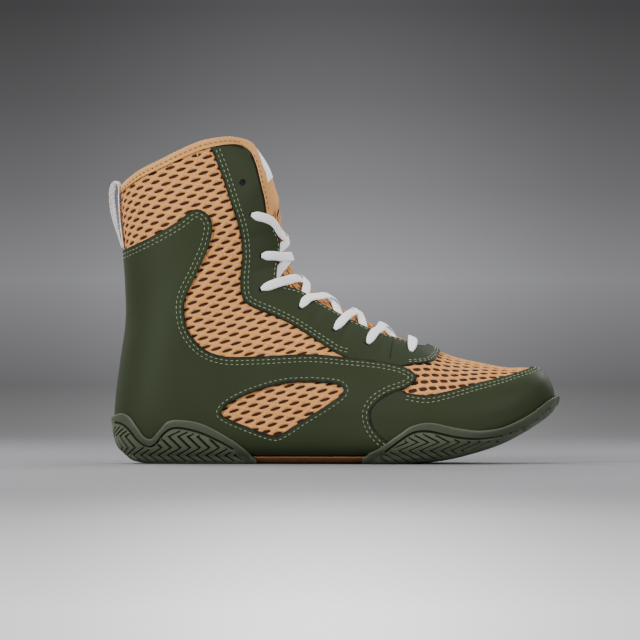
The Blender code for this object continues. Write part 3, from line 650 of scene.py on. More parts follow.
def rubber_finish(name, colour, share):
    """Moulded rubber: satin, faint sparks, painted light on rim and tread, painted shade near black in
    grooves.
    """
    material, tree, shader = start_material(name, 0.5, Specular_IOR_Level=0.22)
    place = add(tree, "ShaderNodeTexCoord").outputs["Object"]
    scuff = add(tree, "ShaderNodeTexNoise", {"Scale": per_metre(22), "Detail": 6.0, "Roughness": 0.6},
                {"Vector": place}).outputs["Fac"]
    tone = add(tree, "ShaderNodeMix", {FIRST: (*toned(colour, share), 1), SECOND: (*colour, 1)},
               {FACTOR: scuff}, data_type="RGBA").outputs[MIXED]
    # Painted light and shade: a highlight on the rim's rounded edge, light on the downward facing tread,
    # shade in the grooves
    for mark, paler in (("rim", 1.6), ("land", 1.6), ("pit", 0.08)):
        light_and_shade_mark = add(tree, "ShaderNodeAttribute", attribute_name=mark).outputs["Fac"]
        tone = add(tree, "ShaderNodeMix", {SECOND: (*toned(colour, paler), 1)}, {FACTOR: light_and_shade_mark, FIRST: tone},
                   data_type="RGBA").outputs[MIXED]
    tree.links.new(tone, shader.inputs["Base Color"])
    gloss = add(tree, "ShaderNodeMapRange", {"To Min": 0.42, "To Max": 0.62}, {"Value": scuff})
    tree.links.new(gloss.outputs["Result"], shader.inputs["Roughness"])
    spark = add(tree, "ShaderNodeTexNoise", {"Scale": per_metre(0.5), "Detail": 2.0}, {"Vector": place})
    relief = add(tree, "ShaderNodeBump", {"Strength": 0.14, "Distance": 0.08 * MM},
                 {"Height": spark.outputs["Fac"]})
    tree.links.new(relief.outputs["Normal"], shader.inputs["Normal"])
    return material


def thread_finish(name, colour):
    """Twisted sewing thread: bright ply ridges on each stitch."""
    material, tree, shader = start_material(name, 0.55, colour, Sheen_Weight=0.2)
    place = add(tree, "ShaderNodeTexCoord").outputs["Object"]
    ply = add(tree, "ShaderNodeTexNoise", {"Scale": per_metre(0.3), "Detail": 1.0}, {"Vector": place})
    relief = add(tree, "ShaderNodeBump", {"Strength": 0.35, "Distance": 0.10 * MM},
                 {"Height": ply.outputs["Fac"]})
    tree.links.new(relief.outputs["Normal"], shader.inputs["Normal"])
    return material


def finish(name):
    """Material of a finish, made the first time it is asked for: cloth threads and woven ribs are in mm."""
    found = bpy.data.materials.get(name)
    if found:
        return found
    c = bpy.context.scene.shoe_colours
    maker, *values = {
        "green synthetic leather": (leather_finish, c),
        "tan knit mesh": (knit_finish, c),
        "tan edge tape": (cloth_finish, c.tape, toned(c.tape, 0.78), 0.55),
        "brown lining cloth": (cloth_finish, c.tan_shade, c.hole, 0.7),
        "black backing cloth": (cloth_finish, c.crevice_shade, c.crevice_shade, 0.5),
        "dark footbed cloth": (cloth_finish, c.footbed, c.hole, 0.6),
        "white label cloth": (cloth_finish, c.white, c.white, 0.4),
        "white woven lace": (weave_finish, c.white, 1 / 1.4),
        "white woven tape": (weave_finish, c.white, 1 / 0.9),
        "grey green rubber": (rubber_finish, c.rubber, 0.8),
        "brown rubber": (rubber_finish, c.arch, 0.7),
        "green thread": (thread_finish, c.thread),
        "tan thread": (thread_finish, toned(c.tape, 0.22)),
    }[name]
    return maker(name, *values)


def placed(name, data):
    """Object with this data, linked into the scene."""
    obj = bpy.data.objects.new(name, data)
    bpy.context.scene.collection.objects.link(obj)
    return obj


def new_piece(name, verts, faces, material, attributes=None):
    """Object with a plain mesh, one material and number attributes on its points."""
    mesh = bpy.data.meshes.new(name)
    mesh.from_pydata([tuple(v) for v in verts], [], [tuple(int(i) for i in f) for f in faces])
    for key, values in (attributes or {}).items():
        layer = mesh.attributes.new(key, "FLOAT", "POINT")
        layer.data.foreach_set("value", np.asarray(values, np.float32))
    mesh.validate()
    mesh.materials.append(finish(material))
    mesh.shade_smooth()
    return placed(name, mesh)


def settle(obj, sharp=40):
    """Turns an object's modifiers into its plain mesh, and keeps edges past an angle in degrees sharp."""
    graph = bpy.context.evaluated_depsgraph_get()
    mesh = bpy.data.meshes.new_from_object(obj.evaluated_get(graph))
    old = obj.data
    obj.modifiers.clear()
    obj.data = mesh
    bpy.data.meshes.remove(old)
    mesh.shade_smooth()
    mesh.set_sharp_from_angle(angle=math.radians(sharp))


def weld(obj, distance=0.02 * MM):
    """Merges points that lie on each other."""
    bm = bmesh.new()
    bm.from_mesh(obj.data)
    bmesh.ops.remove_doubles(bm, verts=bm.verts, dist=distance)
    bm.to_mesh(obj.data)
    bm.free()


def give_body(obj, thickness, round_edge=0.0):
    """Thickens a sheet inwards and rounds its cut edges."""
    solid = obj.modifiers.new("thickness", "SOLIDIFY")
    solid.thickness = thickness
    solid.offset = -1
    if round_edge:
        bevel = obj.modifiers.new("round edge", "BEVEL")
        bevel.width = round_edge
        bevel.segments = 2
        bevel.limit_method = "ANGLE"
        bevel.angle_limit = math.radians(55)
    settle(obj)


def claim(obj, slot, *nodes):
    """Hands a finished piece to the frame."""
    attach(obj, "root")
    if nodes:
        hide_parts(*nodes)


# Sheets of triangles: height of a row of even triangles, how near a grid point may lie to an edge or a
# marked line, all in shares of the spacing, and how near two points of an outline may lie
TRIANGLE_ROW = 0.866
EDGE_MARGIN = 0.45
LINE_MARGIN = 0.3
NEAREST_POINTS = 0.04 * MM


def in_sheet(points, loops):
    """True for points inside the first loop and outside the others."""
    result = inside(points, loops[0])
    for loop in loops[1:]:
        result &= ~inside(points, loop)
    return result


def panel(outline, spacing, holes=(), lines=(), depths=(), edge_depth=0.0):
    """Rows, shares, triangles and depths of a sheet on the last inside an unrolled outline."""
    size = np.array((ROW_SIZE, SHARE_SIZE))
    loops = [np.asarray(loop) * size for loop in (outline, *holes)]
    loops = [loop[np.linalg.norm(loop - np.roll(loop, 1, axis=0), axis=1) > NEAREST_POINTS] for loop in loops]
    extra = [np.asarray(line) * size for line in lines]
    low, high = loops[0].min(axis=0), loops[0].max(axis=0)
    across = np.arange(low[0], high[0], spacing)
    up = np.arange(low[1], high[1], spacing * TRIANGLE_ROW)
    gx, gy = np.meshgrid(across, up)
    gx = gx + (np.arange(len(up)) % 2)[:, None] * spacing * 0.5
    grid = np.stack((gx.ravel(), gy.ravel()), -1)
    grid = grid[in_sheet(grid, loops)]
    for loop in loops:
        grid = grid[away_from(grid, loop) > EDGE_MARGIN * spacing]
    for line in extra:
        grid = grid[away_from(grid, line, closed=False) > LINE_MARGIN * spacing]
    verts, edges, marks = [], [], []
    for line, depth, closed in ([(loop, edge_depth, 1) for loop in loops]
                                + [(line, depth, 0) for line, depth in zip(extra, depths)]):
        start, count = len(verts), len(line)
        verts += [Vector(p) for p in line]
        marks += [depth] * count
        edges += [(start + i, start + (i + 1) % count) for i in range(count - 1 + closed)]
    verts += [Vector(p) for p in grid]
    marks += [0.0] * len(grid)
    flat, _, faces, origins, *_ = delaunay_2d_cdt(verts, edges, [], 0, 1e-7)
    flat = np.array([(p.x, p.y) for p in flat])
    depth = np.array([max((marks[i] for i in origin), default=0.0) for origin in origins])
    faces = np.array([f for f in faces if len(f) == 3])
    faces = faces[in_sheet(flat[faces].mean(axis=1), loops)][:, ::-1]
    rows, shares = (flat / size).T
    return rows, shares, faces, depth


# Overlays: distances of their faces from the last, and how far their lower edges stand above its base
OVERLAY_LIFT = 1.3 * MM
QUARTER_LIFT = 1.7 * MM
OVERLAY_BACK = 0.3 * MM
CUP_TUCK = 7.8 * MM
ARCH_TUCK = 0.3 * MM
TOE_TUCK = 2.6 * MM
QUARTER_ROUND = 0.35 * MM
OVERLAY_ROUND = 0.30 * MM
QUARTER_SPACING = 1.9 * MM
STAY_SPACING = 1.6 * MM
CAP_SPACING = 1.7 * MM
EYELET_RADIUS = 1.5 * MM
TOP_EYELET_RADIUS = 1.8 * MM
SHADE_DISC_RADIUS = 3.0 * MM

# The blunt toe end: rows that it adds before the first, its bulge and the points of its ring
TOE_END = 0.5
TOE_BULGE = 1.6 * MM
TOE_RING = np.linspace(-1, 1, 40, endpoint=False)
CAP_WELD = 0.1 * MM

# How near in shares a line may come to the seam at the back, and to the ridge over the toe
SEAM_CLEAR = 0.006
RIDGE_CLEAR = 0.04

# Where overlay edges begin, end or are closed, and how far they run on, in drawing units
UNDER_TAPE = 1.8
HEEL_CLOSE = ((104, 440),)
CAP_CLOSE = ((572, 360), (572, 400))
CAP_CORNER = ((394, 384),)
CAP_FRONT_TOP = 396
CAP_FRONT_GAP = 2.2
CAP_FOOT = 395
CAP_LOW_FOOT = (455, 505)
STAY_THROAT_TOP = 216
STAY_TOP_RUN = (213, 247)
TAPE_MARK_RUN = (214, 246)
STAY_TUCK = 3.4
STAY_TUCK_END = 400

# Marked lines beside an edge of the eyestay: distance from the edge in drawing units, then SEAM_SHADE
# where painted shade darkens the seam slit and the leather beside the tape's edges
SEAM_SHADE = 2.0
SEAM_MARKS = ((-0.9, 0.0), (0.0, SEAM_SHADE), (0.9, 0.0))
TAPE_MARKS = ((-0.9, SEAM_SHADE), (0.5, SEAM_SHADE), (1.5, 0.0))


def half_line(points, side, seam, lift=OVERLAY_LIFT, under=None, clear=SEAM_CLEAR):
    """Unrolled line on one side, without the points that lie too close to the seam."""
    line = unrolled(points, side, seam, lift, under)
    return line[np.abs(line[:, 1] + seam) > clear]


def at_seam(line, end, seam):
    """Place on the seam beside the first (0) or last (-1) point of a line."""
    return np.array(((line[end, 0], 0.0 - seam),))


def both_sides(points, seam, lift, under=None):
    """Closed loop of a panel that runs from seam to seam on the outer side and back on the inner side."""
    outer, inner = (half_line(points, side, seam, lift, under) for side in SIDES)
    return np.concatenate((at_seam(outer, 0, seam), outer, at_seam(outer, -1, seam), inner[::-1]))


def quarter_lines():
    """Side drawing lines of the quarter: its top and front edge, and its hidden lower edge."""
    top = np.concatenate((flowing(QUARTER_TOP), flowing(QUARTER_FRONT)))
    arch = within(base_line(ARCH_TUCK), *ARCH_RUN)
    heel = within(base_line(CUP_TUCK), high=ARCH_RUN[0])
    return top, np.concatenate((arch, heel, HEEL_CLOSE))


def collar_lower():
    """Side drawing line of the lower edge of the collar tape."""
    return moved_line(flowing(COLLAR_LINE), BINDING_DROP)


def throat_lines():
    """Side drawing lines of the eyestay's throat edge, front strip edge and top edge."""
    throat = flowing(THROAT_EDGE)
    strip = moved_line(flowing(BINDING_FRONT), -UNDER_TAPE)
    top = within(moved_line(collar_lower(), -UNDER_TAPE), *STAY_TOP_RUN)
    return throat[throat[:, 1] > STAY_THROAT_TOP], strip, top


def eyelet_ring(place, side, radius, count=16):
    """Unrolled ring of a punched hole."""
    rows, shares = locate((place,), side, OVERLAY_LIFT)
    rows, shares = np.repeat(rows, count), np.repeat(shares, count)
    normal = normals_at(rows, shares)
    along = unit(np.cross(normal, (0.0, 0.0, 1.0)))
    up = np.cross(along, normal)
    turn = np.linspace(0, math.tau, count, endpoint=False)[:, None]
    return np.stack(slide(rows, shares, radius * (along * np.cos(turn) + up * np.sin(turn))), -1)


def make_quarter():
    """Green quarter that wraps the heel, with an open window on each side."""
    outline = both_sides(np.concatenate(quarter_lines()), 1, QUARTER_LIFT)
    window = flowing(WINDOW, closed=True)
    holes = [unrolled(window, side, 1, QUARTER_LIFT) for side in SIDES]
    rows, shares, faces, rim = panel(outline, QUARTER_SPACING, holes, edge_depth=1.0)
    verts = lifted(rows, shares, QUARTER_LIFT - crease_depth(rows, shares))
    piece = new_piece("quarter_leather", verts, faces, "green synthetic leather", {"rim": rim})
    give_body(piece, QUARTER_LIFT - OVERLAY_BACK, QUARTER_ROUND)
    claim(piece, "green_overlay", "quarter_overlay")


def make_eyestay():
    """Green eyestay round the throat, punched for the lace, with painted shade discs behind its top eyelets.
    """
    tucked = [(x, y + STAY_TUCK) if x < STAY_TUCK_END else (x, y) for x, y in EYESTAY_TOE]
    outer_edge = np.concatenate((flowing(EYESTAY_BACK), flowing(tucked)))
    inner_edge = np.concatenate([line[::-1] for line in throat_lines()])
    edge, far_edge = (half_line(outer_edge, side, 0) for side in SIDES)
    opening, far_opening = (half_line(inner_edge, side, 0) for side in SIDES)
    outline = np.concatenate((edge, at_seam(edge, -1, 0), far_edge[::-1], far_opening[::-1],
                              at_seam(opening, 0, 0), opening))
    holes = [eyelet_ring(place, side, EYELET_RADIUS) for place in EYELETS for side in SIDES]
    holes += [eyelet_ring(TOP_EYELET, side, TOP_EYELET_RADIUS) for side in SIDES]
    marked = ((flowing(STAY_SEAM, 1.0), SEAM_MARKS), (flowing(BINDING_FRONT)[3:-2], TAPE_MARKS),
              (within(collar_lower(), *TAPE_MARK_RUN)[2:-2], TAPE_MARKS))
    lines, marks = [], []
    for side in SIDES:
        for line, offsets in marked:
            for offset, mark in offsets:
                lines.append(unrolled(moved_line(line, offset), side, 0, OVERLAY_LIFT))
                marks.append(mark)
    rows, shares, faces, mark = panel(outline, STAY_SPACING, holes, lines, marks, edge_depth=1.0)
    verts = lifted(rows, shares, OVERLAY_LIFT - crease_depth(rows, shares))
    # Marks past most of SEAM_SHADE are painted shade in the seam slit and beside the tape; the edges keep the
    # rim mark
    in_seam_shade = mark > 0.75 * SEAM_SHADE
    piece = new_piece("eyestay_leather", verts, faces, "green synthetic leather",
                      {"rim": mark * ~in_seam_shade, "seam": in_seam_shade})
    give_body(piece, OVERLAY_LIFT - OVERLAY_BACK, OVERLAY_ROUND)
    claim(piece, "green_overlay", "eyestay")
    # Dark discs behind the top eyelets: painted shade of the shoe's inside, seen through the holes
    for side, name in zip(SIDES, ("outer", "inner")):
        rows, shares, faces, _ = panel(eyelet_ring(TOP_EYELET, side, SHADE_DISC_RADIUS), 1.5 * MM)
        verts = lifted(rows, shares, 0.2 * MM)
        shade_disc = new_piece("eyelet_shade_disc_" + name, verts, faces, "black backing cloth")
        give_body(shade_disc, 0.4 * MM)
        claim(shade_disc, "green_overlay")


def toe_lines():
    """Side drawing lines of the toe cap: its top edge, its edge at the quarter and its hidden lower edge."""
    front = moved_line(flowing(QUARTER_FRONT), CAP_FRONT_GAP)
    high, low = base_line(CUP_TUCK), base_line(TOE_TUCK)
    share = np.clip((high[:, :1] - CAP_LOW_FOOT[0]) / (CAP_LOW_FOOT[1] - CAP_LOW_FOOT[0]), 0, 1)
    foot = within(high + (low - high) * share, low=CAP_FOOT)
    return flowing(CAP_CORNER + TOE_CAP_TOP), front[front[:, 1] > CAP_FRONT_TOP], foot


def rounded_toe(rows, shares, lift, under=None):
    """Lifted points, with rows below zero drawn in over the blunt toe end."""
    points = lifted(np.maximum(rows, 0), shares, lift, under)
    t = np.clip(-rows / TOE_END, 0, 1)[:, None] * 0.5 * math.pi
    centre = lifted(np.zeros(len(TOE_RING)), TOE_RING, np.mean(lift)).mean(axis=0)
    bulge = np.array((TOE_BULGE, 0.0, 0.0))
    return np.where(t > 0, centre + (points - centre) * np.cos(t) + bulge * np.sin(t), points)


def make_toe_cap():
    """Green cap round the toe, from the sole up to the knit vamp."""
    top, front, foot = toe_lines()
    line = np.concatenate((top[::-1], front, foot[::-1]))
    outer, inner = (half_line(line, side, 0, clear=RIDGE_CLEAR) for side in SIDES)
    tip = np.array(((-TOE_END, outer[-1, 1]), (-TOE_END, inner[-1, 1])))
    outline = np.concatenate((at_seam(outer, 0, 0), outer, tip, inner[::-1]))
    rows, shares, faces, rim = panel(outline, CAP_SPACING, edge_depth=1.0)
    verts = rounded_toe(rows, shares, OVERLAY_LIFT - crease_depth(np.maximum(rows, 0), shares))
    piece = new_piece("toe_leather", verts, faces, "green synthetic leather", {"rim": rim})
    weld(piece, CAP_WELD)
    give_body(piece, OVERLAY_LIFT - OVERLAY_BACK, OVERLAY_ROUND)
    claim(piece, "green_overlay", "toe_cap")


# Stage: a round paper floor that fades out between two radii, and disc lights with place, aim, diameter
# and power
FLOOR_RADIUS = 2.6
FLOOR_FADE = (0.30, 1.7)
FLOOR_GREY = "#868689"
LIGHTS = (
    ("key_light", (-1.50, -1.50, 1.05), (0.0, 0.0, 0.09), 1.0, 62),
    ("fill_light", (1.70, -1.30, 0.80), (0.02, 0.0, 0.08), 1.2, 34),
    ("top_light", (0.0, 0.10, 1.70), (0.0, 0.0, 0.05), 1.0, 12),
    ("back_light", (-0.90, 1.10, 0.90), (0.0, 0.0, 0.10), 0.8, 15),
    ("far_light", (1.00, 1.20, 1.00), (0.0, 0.0, 0.08), 0.9, 15),
)

# Studio backdrop: the rise of a view line at its lower and upper end, greys by share of that rise, and
# the strength in the middle and past the sideways slope where its glow ends
BACKDROP_RISE = (-0.040, 0.034)
BACKDROP_GREYS = ((0.115, "#D0D0D2"), (0.158, "#C2C2C4"), (0.203, "#B2B2B4"), (0.247, "#9C9C9E"),
                  (0.29, "#7E7E80"), (0.38, "#5A5A5B"), (0.445, "#4B4B4C"), (0.51, "#555557"),
                  (0.60, "#626264"), (0.73, "#4F4F51"), (0.865, "#3F3F40"), (1.00, "#313132"))
GLOW_STRENGTH = (3.2, 2.0)
GLOW_SLOPE = 0.036

CAMERA_DISTANCE = 6.0
CAMERA_SENSOR = 36
FRAME_UNITS = 640
FRAME_MIDDLE = 320


def make_floor():
    """Pale round paper floor that fades into the studio."""
    bm = bmesh.new()
    bmesh.ops.create_circle(bm, cap_ends=True, segments=128, radius=FLOOR_RADIUS)
    mesh = bpy.data.meshes.new("floor")
    bm.to_mesh(mesh)
    bm.free()
    material, tree, shader = start_material("pale studio paper", 0.6, linear(FLOOR_GREY))
    place = add(tree, "ShaderNodeTexCoord").outputs["Object"]
    reach = add(tree, "ShaderNodeVectorMath", links={0: place}, operation="LENGTH")
    fade = add(tree, "ShaderNodeMapRange",
               {"From Min": FLOOR_FADE[0], "From Max": FLOOR_FADE[1], "To Min": 1.0, "To Max": 0.0},
               {"Value": reach.outputs["Value"]}, interpolation_type="SMOOTHSTEP")
    tree.links.new(fade.outputs["Result"], shader.inputs["Alpha"])
    fibre = add(tree, "ShaderNodeTexNoise", {"Scale": per_metre(3), "Detail": 2.0}, {"Vector": place})
    relief = add(tree, "ShaderNodeBump", {"Strength": 0.03, "Distance": 0.2 * MM},
                 {"Height": fibre.outputs["Fac"]})
    tree.links.new(relief.outputs["Normal"], shader.inputs["Normal"])
    mesh.materials.append(material)
    floor = placed("floor", mesh)


def make_lights():
    """Soft disc lights all round."""
    for name, place, aim, size, power in LIGHTS:
        data = bpy.data.lights.new(name, "AREA")
        data.shape = "DISK"
        data.size = size
        data.energy = power
        lamp = placed(name, data)
        lamp.location = place
        lamp.rotation_euler = (Vector(aim) - Vector(place)).to_track_quat("-Z", "Y").to_euler()


def make_backdrop():
    """Grey studio, graded by height and brighter in its middle."""
    world = bpy.data.worlds.new("studio")
    world.use_nodes = True
    tree = world.node_tree
    backdrop = tree.nodes["Background"]
    view = add(tree, "ShaderNodeSeparateXYZ", links={0: add(tree, "ShaderNodeTexCoord").outputs["Generated"]})
    rise = add(tree, "ShaderNodeMapRange", {"From Min": BACKDROP_RISE[0], "From Max": BACKDROP_RISE[1]},
               {"Value": view.outputs["Z"]})
    grey = add(tree, "ShaderNodeValToRGB", links={"Fac": rise.outputs["Result"]})
    for place, _ in BACKDROP_GREYS[1:-1]:
        grey.color_ramp.elements.new(place)
    for stop, (place, code) in zip(grey.color_ramp.elements, BACKDROP_GREYS):
        stop.position = place
        stop.color = (*linear(code), 1)
    tree.links.new(grey.outputs["Color"], backdrop.inputs["Color"])
    aside = add(tree, "ShaderNodeMath", links={0: view.outputs["X"]}, operation="ABSOLUTE")
    glow = add(tree, "ShaderNodeMapRange",
               {"From Max": GLOW_SLOPE, "To Min": GLOW_STRENGTH[0], "To Max": GLOW_STRENGTH[1]},
               {"Value": aside.outputs["Value"]}, interpolation_type="SMOOTHSTEP")
    tree.links.new(glow.outputs["Result"], backdrop.inputs["Strength"])
    bpy.context.scene.world = world


def make_camera():
    """Level camera at the outer side, whose frame is that of the side drawing."""
    data = bpy.data.cameras.new("camera")
    data.sensor_width = CAMERA_SENSOR
    data.lens = CAMERA_SENSOR * CAMERA_DISTANCE / (FRAME_UNITS * UNIT)
    camera = placed("camera", data)
    camera.location = ((FRAME_MIDDLE - DRAWING_MIDDLE) * UNIT, -CAMERA_DISTANCE,
                       (FLOOR_LINE - FRAME_MIDDLE) * UNIT)
    camera.rotation_euler = (math.radians(90), 0, 0)
    bpy.context.scene.camera = camera


COVER_MARGIN = 1.0


def covered(places):
    """True for side drawing places that lie well under an overlay."""
    window = flowing(WINDOW, closed=True)
    in_window = inside(places, window) | (away_from(places, window) < COVER_MARGIN)
    cap_top, cap_front, cap_foot = toe_lines()
    stay = [line[::-1] for line in throat_lines()]
    under = np.zeros(len(places), bool)
    for lines, seen in ((quarter_lines(), in_window),
                        ((flowing(EYESTAY_BACK), flowing(EYESTAY_TOE), *stay), False),
                        ((cap_top, CAP_CLOSE, cap_foot, cap_front[::-1]), False)):
        loop = np.concatenate(lines)
        under |= inside(places, loop) & (away_from(places, loop) > COVER_MARGIN) & np.logical_not(seen)
    return under


# Knit of the shaft: drawing heights and runs from the back that its table holds, the rows where the back
# and the ridge begin, and where its level lines end
KNIT_LEVELS = np.arange(136, 444, 4.0)
KNIT_RUNS = np.arange(0, 0.30, 0.002)
BACK_ROWS = FINE_ROWS[240:]
RIDGE_ROWS = FINE_ROWS[60:]
LEVEL_STEPS = np.linspace(0, 1, 110)
LEVEL_END = 440
LEVEL_CLEAR = 2


def level_tables():
    """Rows and shares by drawing height and by run round the last from the back, for both sides."""
    back = to_drawing(lifted(BACK_ROWS, np.full(len(BACK_ROWS), -1.0), 0.0))[::-1]
    ridge = to_drawing(lifted(RIDGE_ROWS, np.zeros(len(RIDGE_ROWS)), 0.0))[::-1]
    tables = {}
    for side in SIDES:
        rows = np.empty((len(KNIT_LEVELS), len(KNIT_RUNS)))
        shares = np.empty_like(rows)
        for i, level in enumerate(KNIT_LEVELS):
            start = np.interp(level, back[:, 1], back[:, 0])
            end = min(np.interp(level, ridge[:, 1], ridge[:, 0]) - LEVEL_CLEAR, LEVEL_END)
            x = start + (end - start) * LEVEL_STEPS ** 2
            line_rows, line_shares = locate(np.stack((x, np.full(len(x), level)), -1), side)
            line_shares[0] = side
            run = run_along(lifted(line_rows, line_shares, 0.0))
            rows[i] = np.interp(KNIT_RUNS, run, line_rows)
            shares[i] = np.interp(KNIT_RUNS, run, line_shares)
        tables[side] = (rows, shares)
    return tables


def shaft_map():
    """Function from (run round the shaft from the back, depth below the drawing's top) to rows and shares."""
    tables = level_tables()

    def place(run, depth):
        level = (depth / UNIT - KNIT_LEVELS[0]) / (KNIT_LEVELS[1] - KNIT_LEVELS[0])
        level = np.clip(level, 0, len(KNIT_LEVELS) - 1.001)
        column = np.clip(np.abs(run) / (KNIT_RUNS[1] - KNIT_RUNS[0]), 0, len(KNIT_RUNS) - 1.001)
        i, k = level.astype(int), column.astype(int)
        fi, fc = level - i, column - k
        results = []
        for part in (0, 1):
            outer, inner = (
                (table[i, k] * (1 - fc) + table[i, k + 1] * fc) * (1 - fi)
                + (table[i + 1, k] * (1 - fc) + table[i + 1, k + 1] * fc) * fi
                for table in (tables[side][part] for side in SIDES))
            results.append(np.where(run >= 0, outer, inner))
        return results
    return place


ALONG_STEPS = 200
ACROSS_STEPS = 80


def ridge_map(first_row, last_row):
    """Function from (run down the ridge from a row, run across it) to rows and shares, and the whole run."""
    rows = np.linspace(first_row, last_row, ALONG_STEPS)
    along = run_along(lifted(rows, np.zeros(ALONG_STEPS), 0.0))
    halves = []
    for side in SIDES:
        grid = lifted(*np.meshgrid(rows, np.linspace(0, side, ACROSS_STEPS), indexing="ij"), 0.0)
        halves.append(np.linalg.norm(np.diff(grid, axis=1), axis=2).sum(axis=1))

    def place(run, across):
        row = np.interp(run, along, rows)
        outer, inner = (np.interp(row, rows[::-1], half[::-1]) for half in halves)
        return [row, -across / np.where(across >= 0, outer, inner)]
    return place, along[-1]


# A knit cell: points on each side of its frame, how blunt its lens opening is, then its rings from the frame
# in:
# share of the lens, share of the frame, height in mm and how far the ring lies in the opening, which sets its
# painted shade
CELL_EDGE = 4
LENS_TURN = 0.75
LENS_POWERS = (0.9, 0.85)
CELL_RINGS = ((0.0, 1.0, 0.14, 0.0), (0.5, 0.5, 0.03, 0.12), (1.0, 0.0, -0.30, 0.35), (0.86, 0.0, -0.80, 1.0),
              (0.40, 0.0, -0.90, 1.0))


def rounded(values, power):
    """Values between -1 and 1 raised to a power, with their signs kept."""
    return np.sign(values) * np.abs(values) ** power


def knit_cells(place, centres, first, second, hole, tilt, level, keep):
    """Points, faces and pit shares of knit cells, each with one lens opening."""
    t = np.arange(CELL_EDGE) / CELL_EDGE - 0.5
    flat = np.full(CELL_EDGE, 0.5)
    sides = [np.stack(side, -1) for side in ((t, -flat), (flat, t), (-t, flat), (-flat, -t))]
    cell_frame = np.concatenate(sides) @ np.array((first, second))
    count = len(cell_frame)
    along = np.array((math.cos(tilt), -math.sin(tilt)))
    across = np.array((math.sin(tilt), math.cos(tilt)))
    turn = np.arctan2(cell_frame @ across * hole[0] * LENS_TURN, cell_frame @ along * hole[1])
    reach = rounded(np.cos(turn), LENS_POWERS[0])
    swell = rounded(np.sin(turn), LENS_POWERS[1])
    lens = 0.5 * (reach[:, None] * along * hole[0] + swell[:, None] * across * hole[1])
    rings = [of_lens * lens + of_frame * cell_frame for of_lens, of_frame, _, _ in CELL_RINGS]
    offsets = np.concatenate(rings + [np.zeros((1, 2))])
    heights, pits = (np.append(np.repeat(column, count), column[-1]) for column in np.array(CELL_RINGS).T[2:])
    cell_faces = []
    for r in range(len(rings) - 1):
        for k in range(count):
            n = (k + 1) % count
            cell_faces.append((r * count + k, r * count + n, (r + 1) * count + n, (r + 1) * count + k))
    low, middle = (len(rings) - 1) * count, len(rings) * count
    cell_faces += [(low + k, low + (k + 1) % count, middle) for k in range(count)]
    spots = centres[:, None] + offsets[None]
    rows, shares = place(spots[..., 0].ravel(), spots[..., 1].ravel())
    rows, shares = rows.reshape(len(centres), -1), shares.reshape(len(centres), -1)
    kept = keep(rows[:, :count], shares[:, :count])
    rows, shares = under_collar(rows[kept].ravel(), shares[kept].ravel())
    number = int(kept.sum())
    verts = lifted(rows, shares, level + np.tile(heights * MM, number))
    faces = [tuple(c * len(offsets) + i for i in face) for c in range(number) for face in cell_faces]
    return verts, faces, np.tile(pits, number)


COLLAR_EDGE = flowing(COLLAR_LINE, 3.0)
COLLAR_END = 256
COLLAR_HEM = 2.6
COLLAR_CUT = 2.0


def rise_over_hem(places, drop):
    """How far side drawing places lie above a line that runs below the collar's fold."""
    limit = np.interp(places[:, 0], COLLAR_EDGE[:, 0], COLLAR_EDGE[:, 1]) + drop
    return (limit - places[:, 1]) * (places[:, 0] < COLLAR_END)


def under_collar(rows, shares):
    """Rows and shares kept below the fold of the collar tape."""
    lower = np.maximum(rise_over_hem(to_drawing(lifted(rows, shares, 0.0)), COLLAR_HEM), 0)
    if not lower.any():
        return rows, shares
    vectors = np.zeros((len(rows), 3))
    vectors[:, 2] = -lower * UNIT
    return slide(rows, shares, vectors)


LATTICE_REACH = range(-80, 81)


def lattice(first, second, low, high):
    """Lattice points inside a box."""
    points = np.array([(i * first[0] + j * second[0], i * first[1] + j * second[1])
                       for i in LATTICE_REACH for j in LATTICE_REACH])
    return points[(points >= low).all(axis=1) & (points <= high).all(axis=1)]


# Knit lattices: two steps from cell to cell in mm, the tilt of the openings in degrees, and their length
# and width as shares of the plain ones
SHAFT_KNIT = ((4.90, -4.64), (7.30, 1.10), 17, 1.0, 1.0)
VAMP_KNIT = ((6.45, -3.30), (5.97, 2.60), 29, 0.90, 1.45)
TONGUE_KNIT = ((6.4, 0.5), (1.6, 4.3), 4, 0.75, 0.8)
SHAFT_BOX = ((-0.20, 136 * UNIT), (0.20, 440 * UNIT))
VAMP_ROWS = (8.2, 2.2)
VAMP_HALF = 0.075
VAMP_START = 395
VAMP_LAST_ROW = 7.6

# Front edge of the shaft's knit, and points that close outlines of the open throat
FRONT_CORNER = ((251.5, 143.5), (255, 148.5))
FRONT_START = ((246, 139),)
FRONT_TOP = 150
OPENING_START = ((246, 142),)
OPENING_CLOSE = ((470, 320), (470, 60), (246, 60))
PAST_CLOSE = ((432, 330), (432, 60), (246, 60))


def knit(place, box, style, sizes, level, keep):
    """Knit cells of one style on a map of the last."""
    first, second = (np.array(step) * MM for step in style[:2])
    hole = (sizes.hole_length * style[3], sizes.hole_width * style[4])
    centres = lattice(first, second, *box)
    return knit_cells(place, centres, first, second, hole, math.radians(style[2]), level, keep)


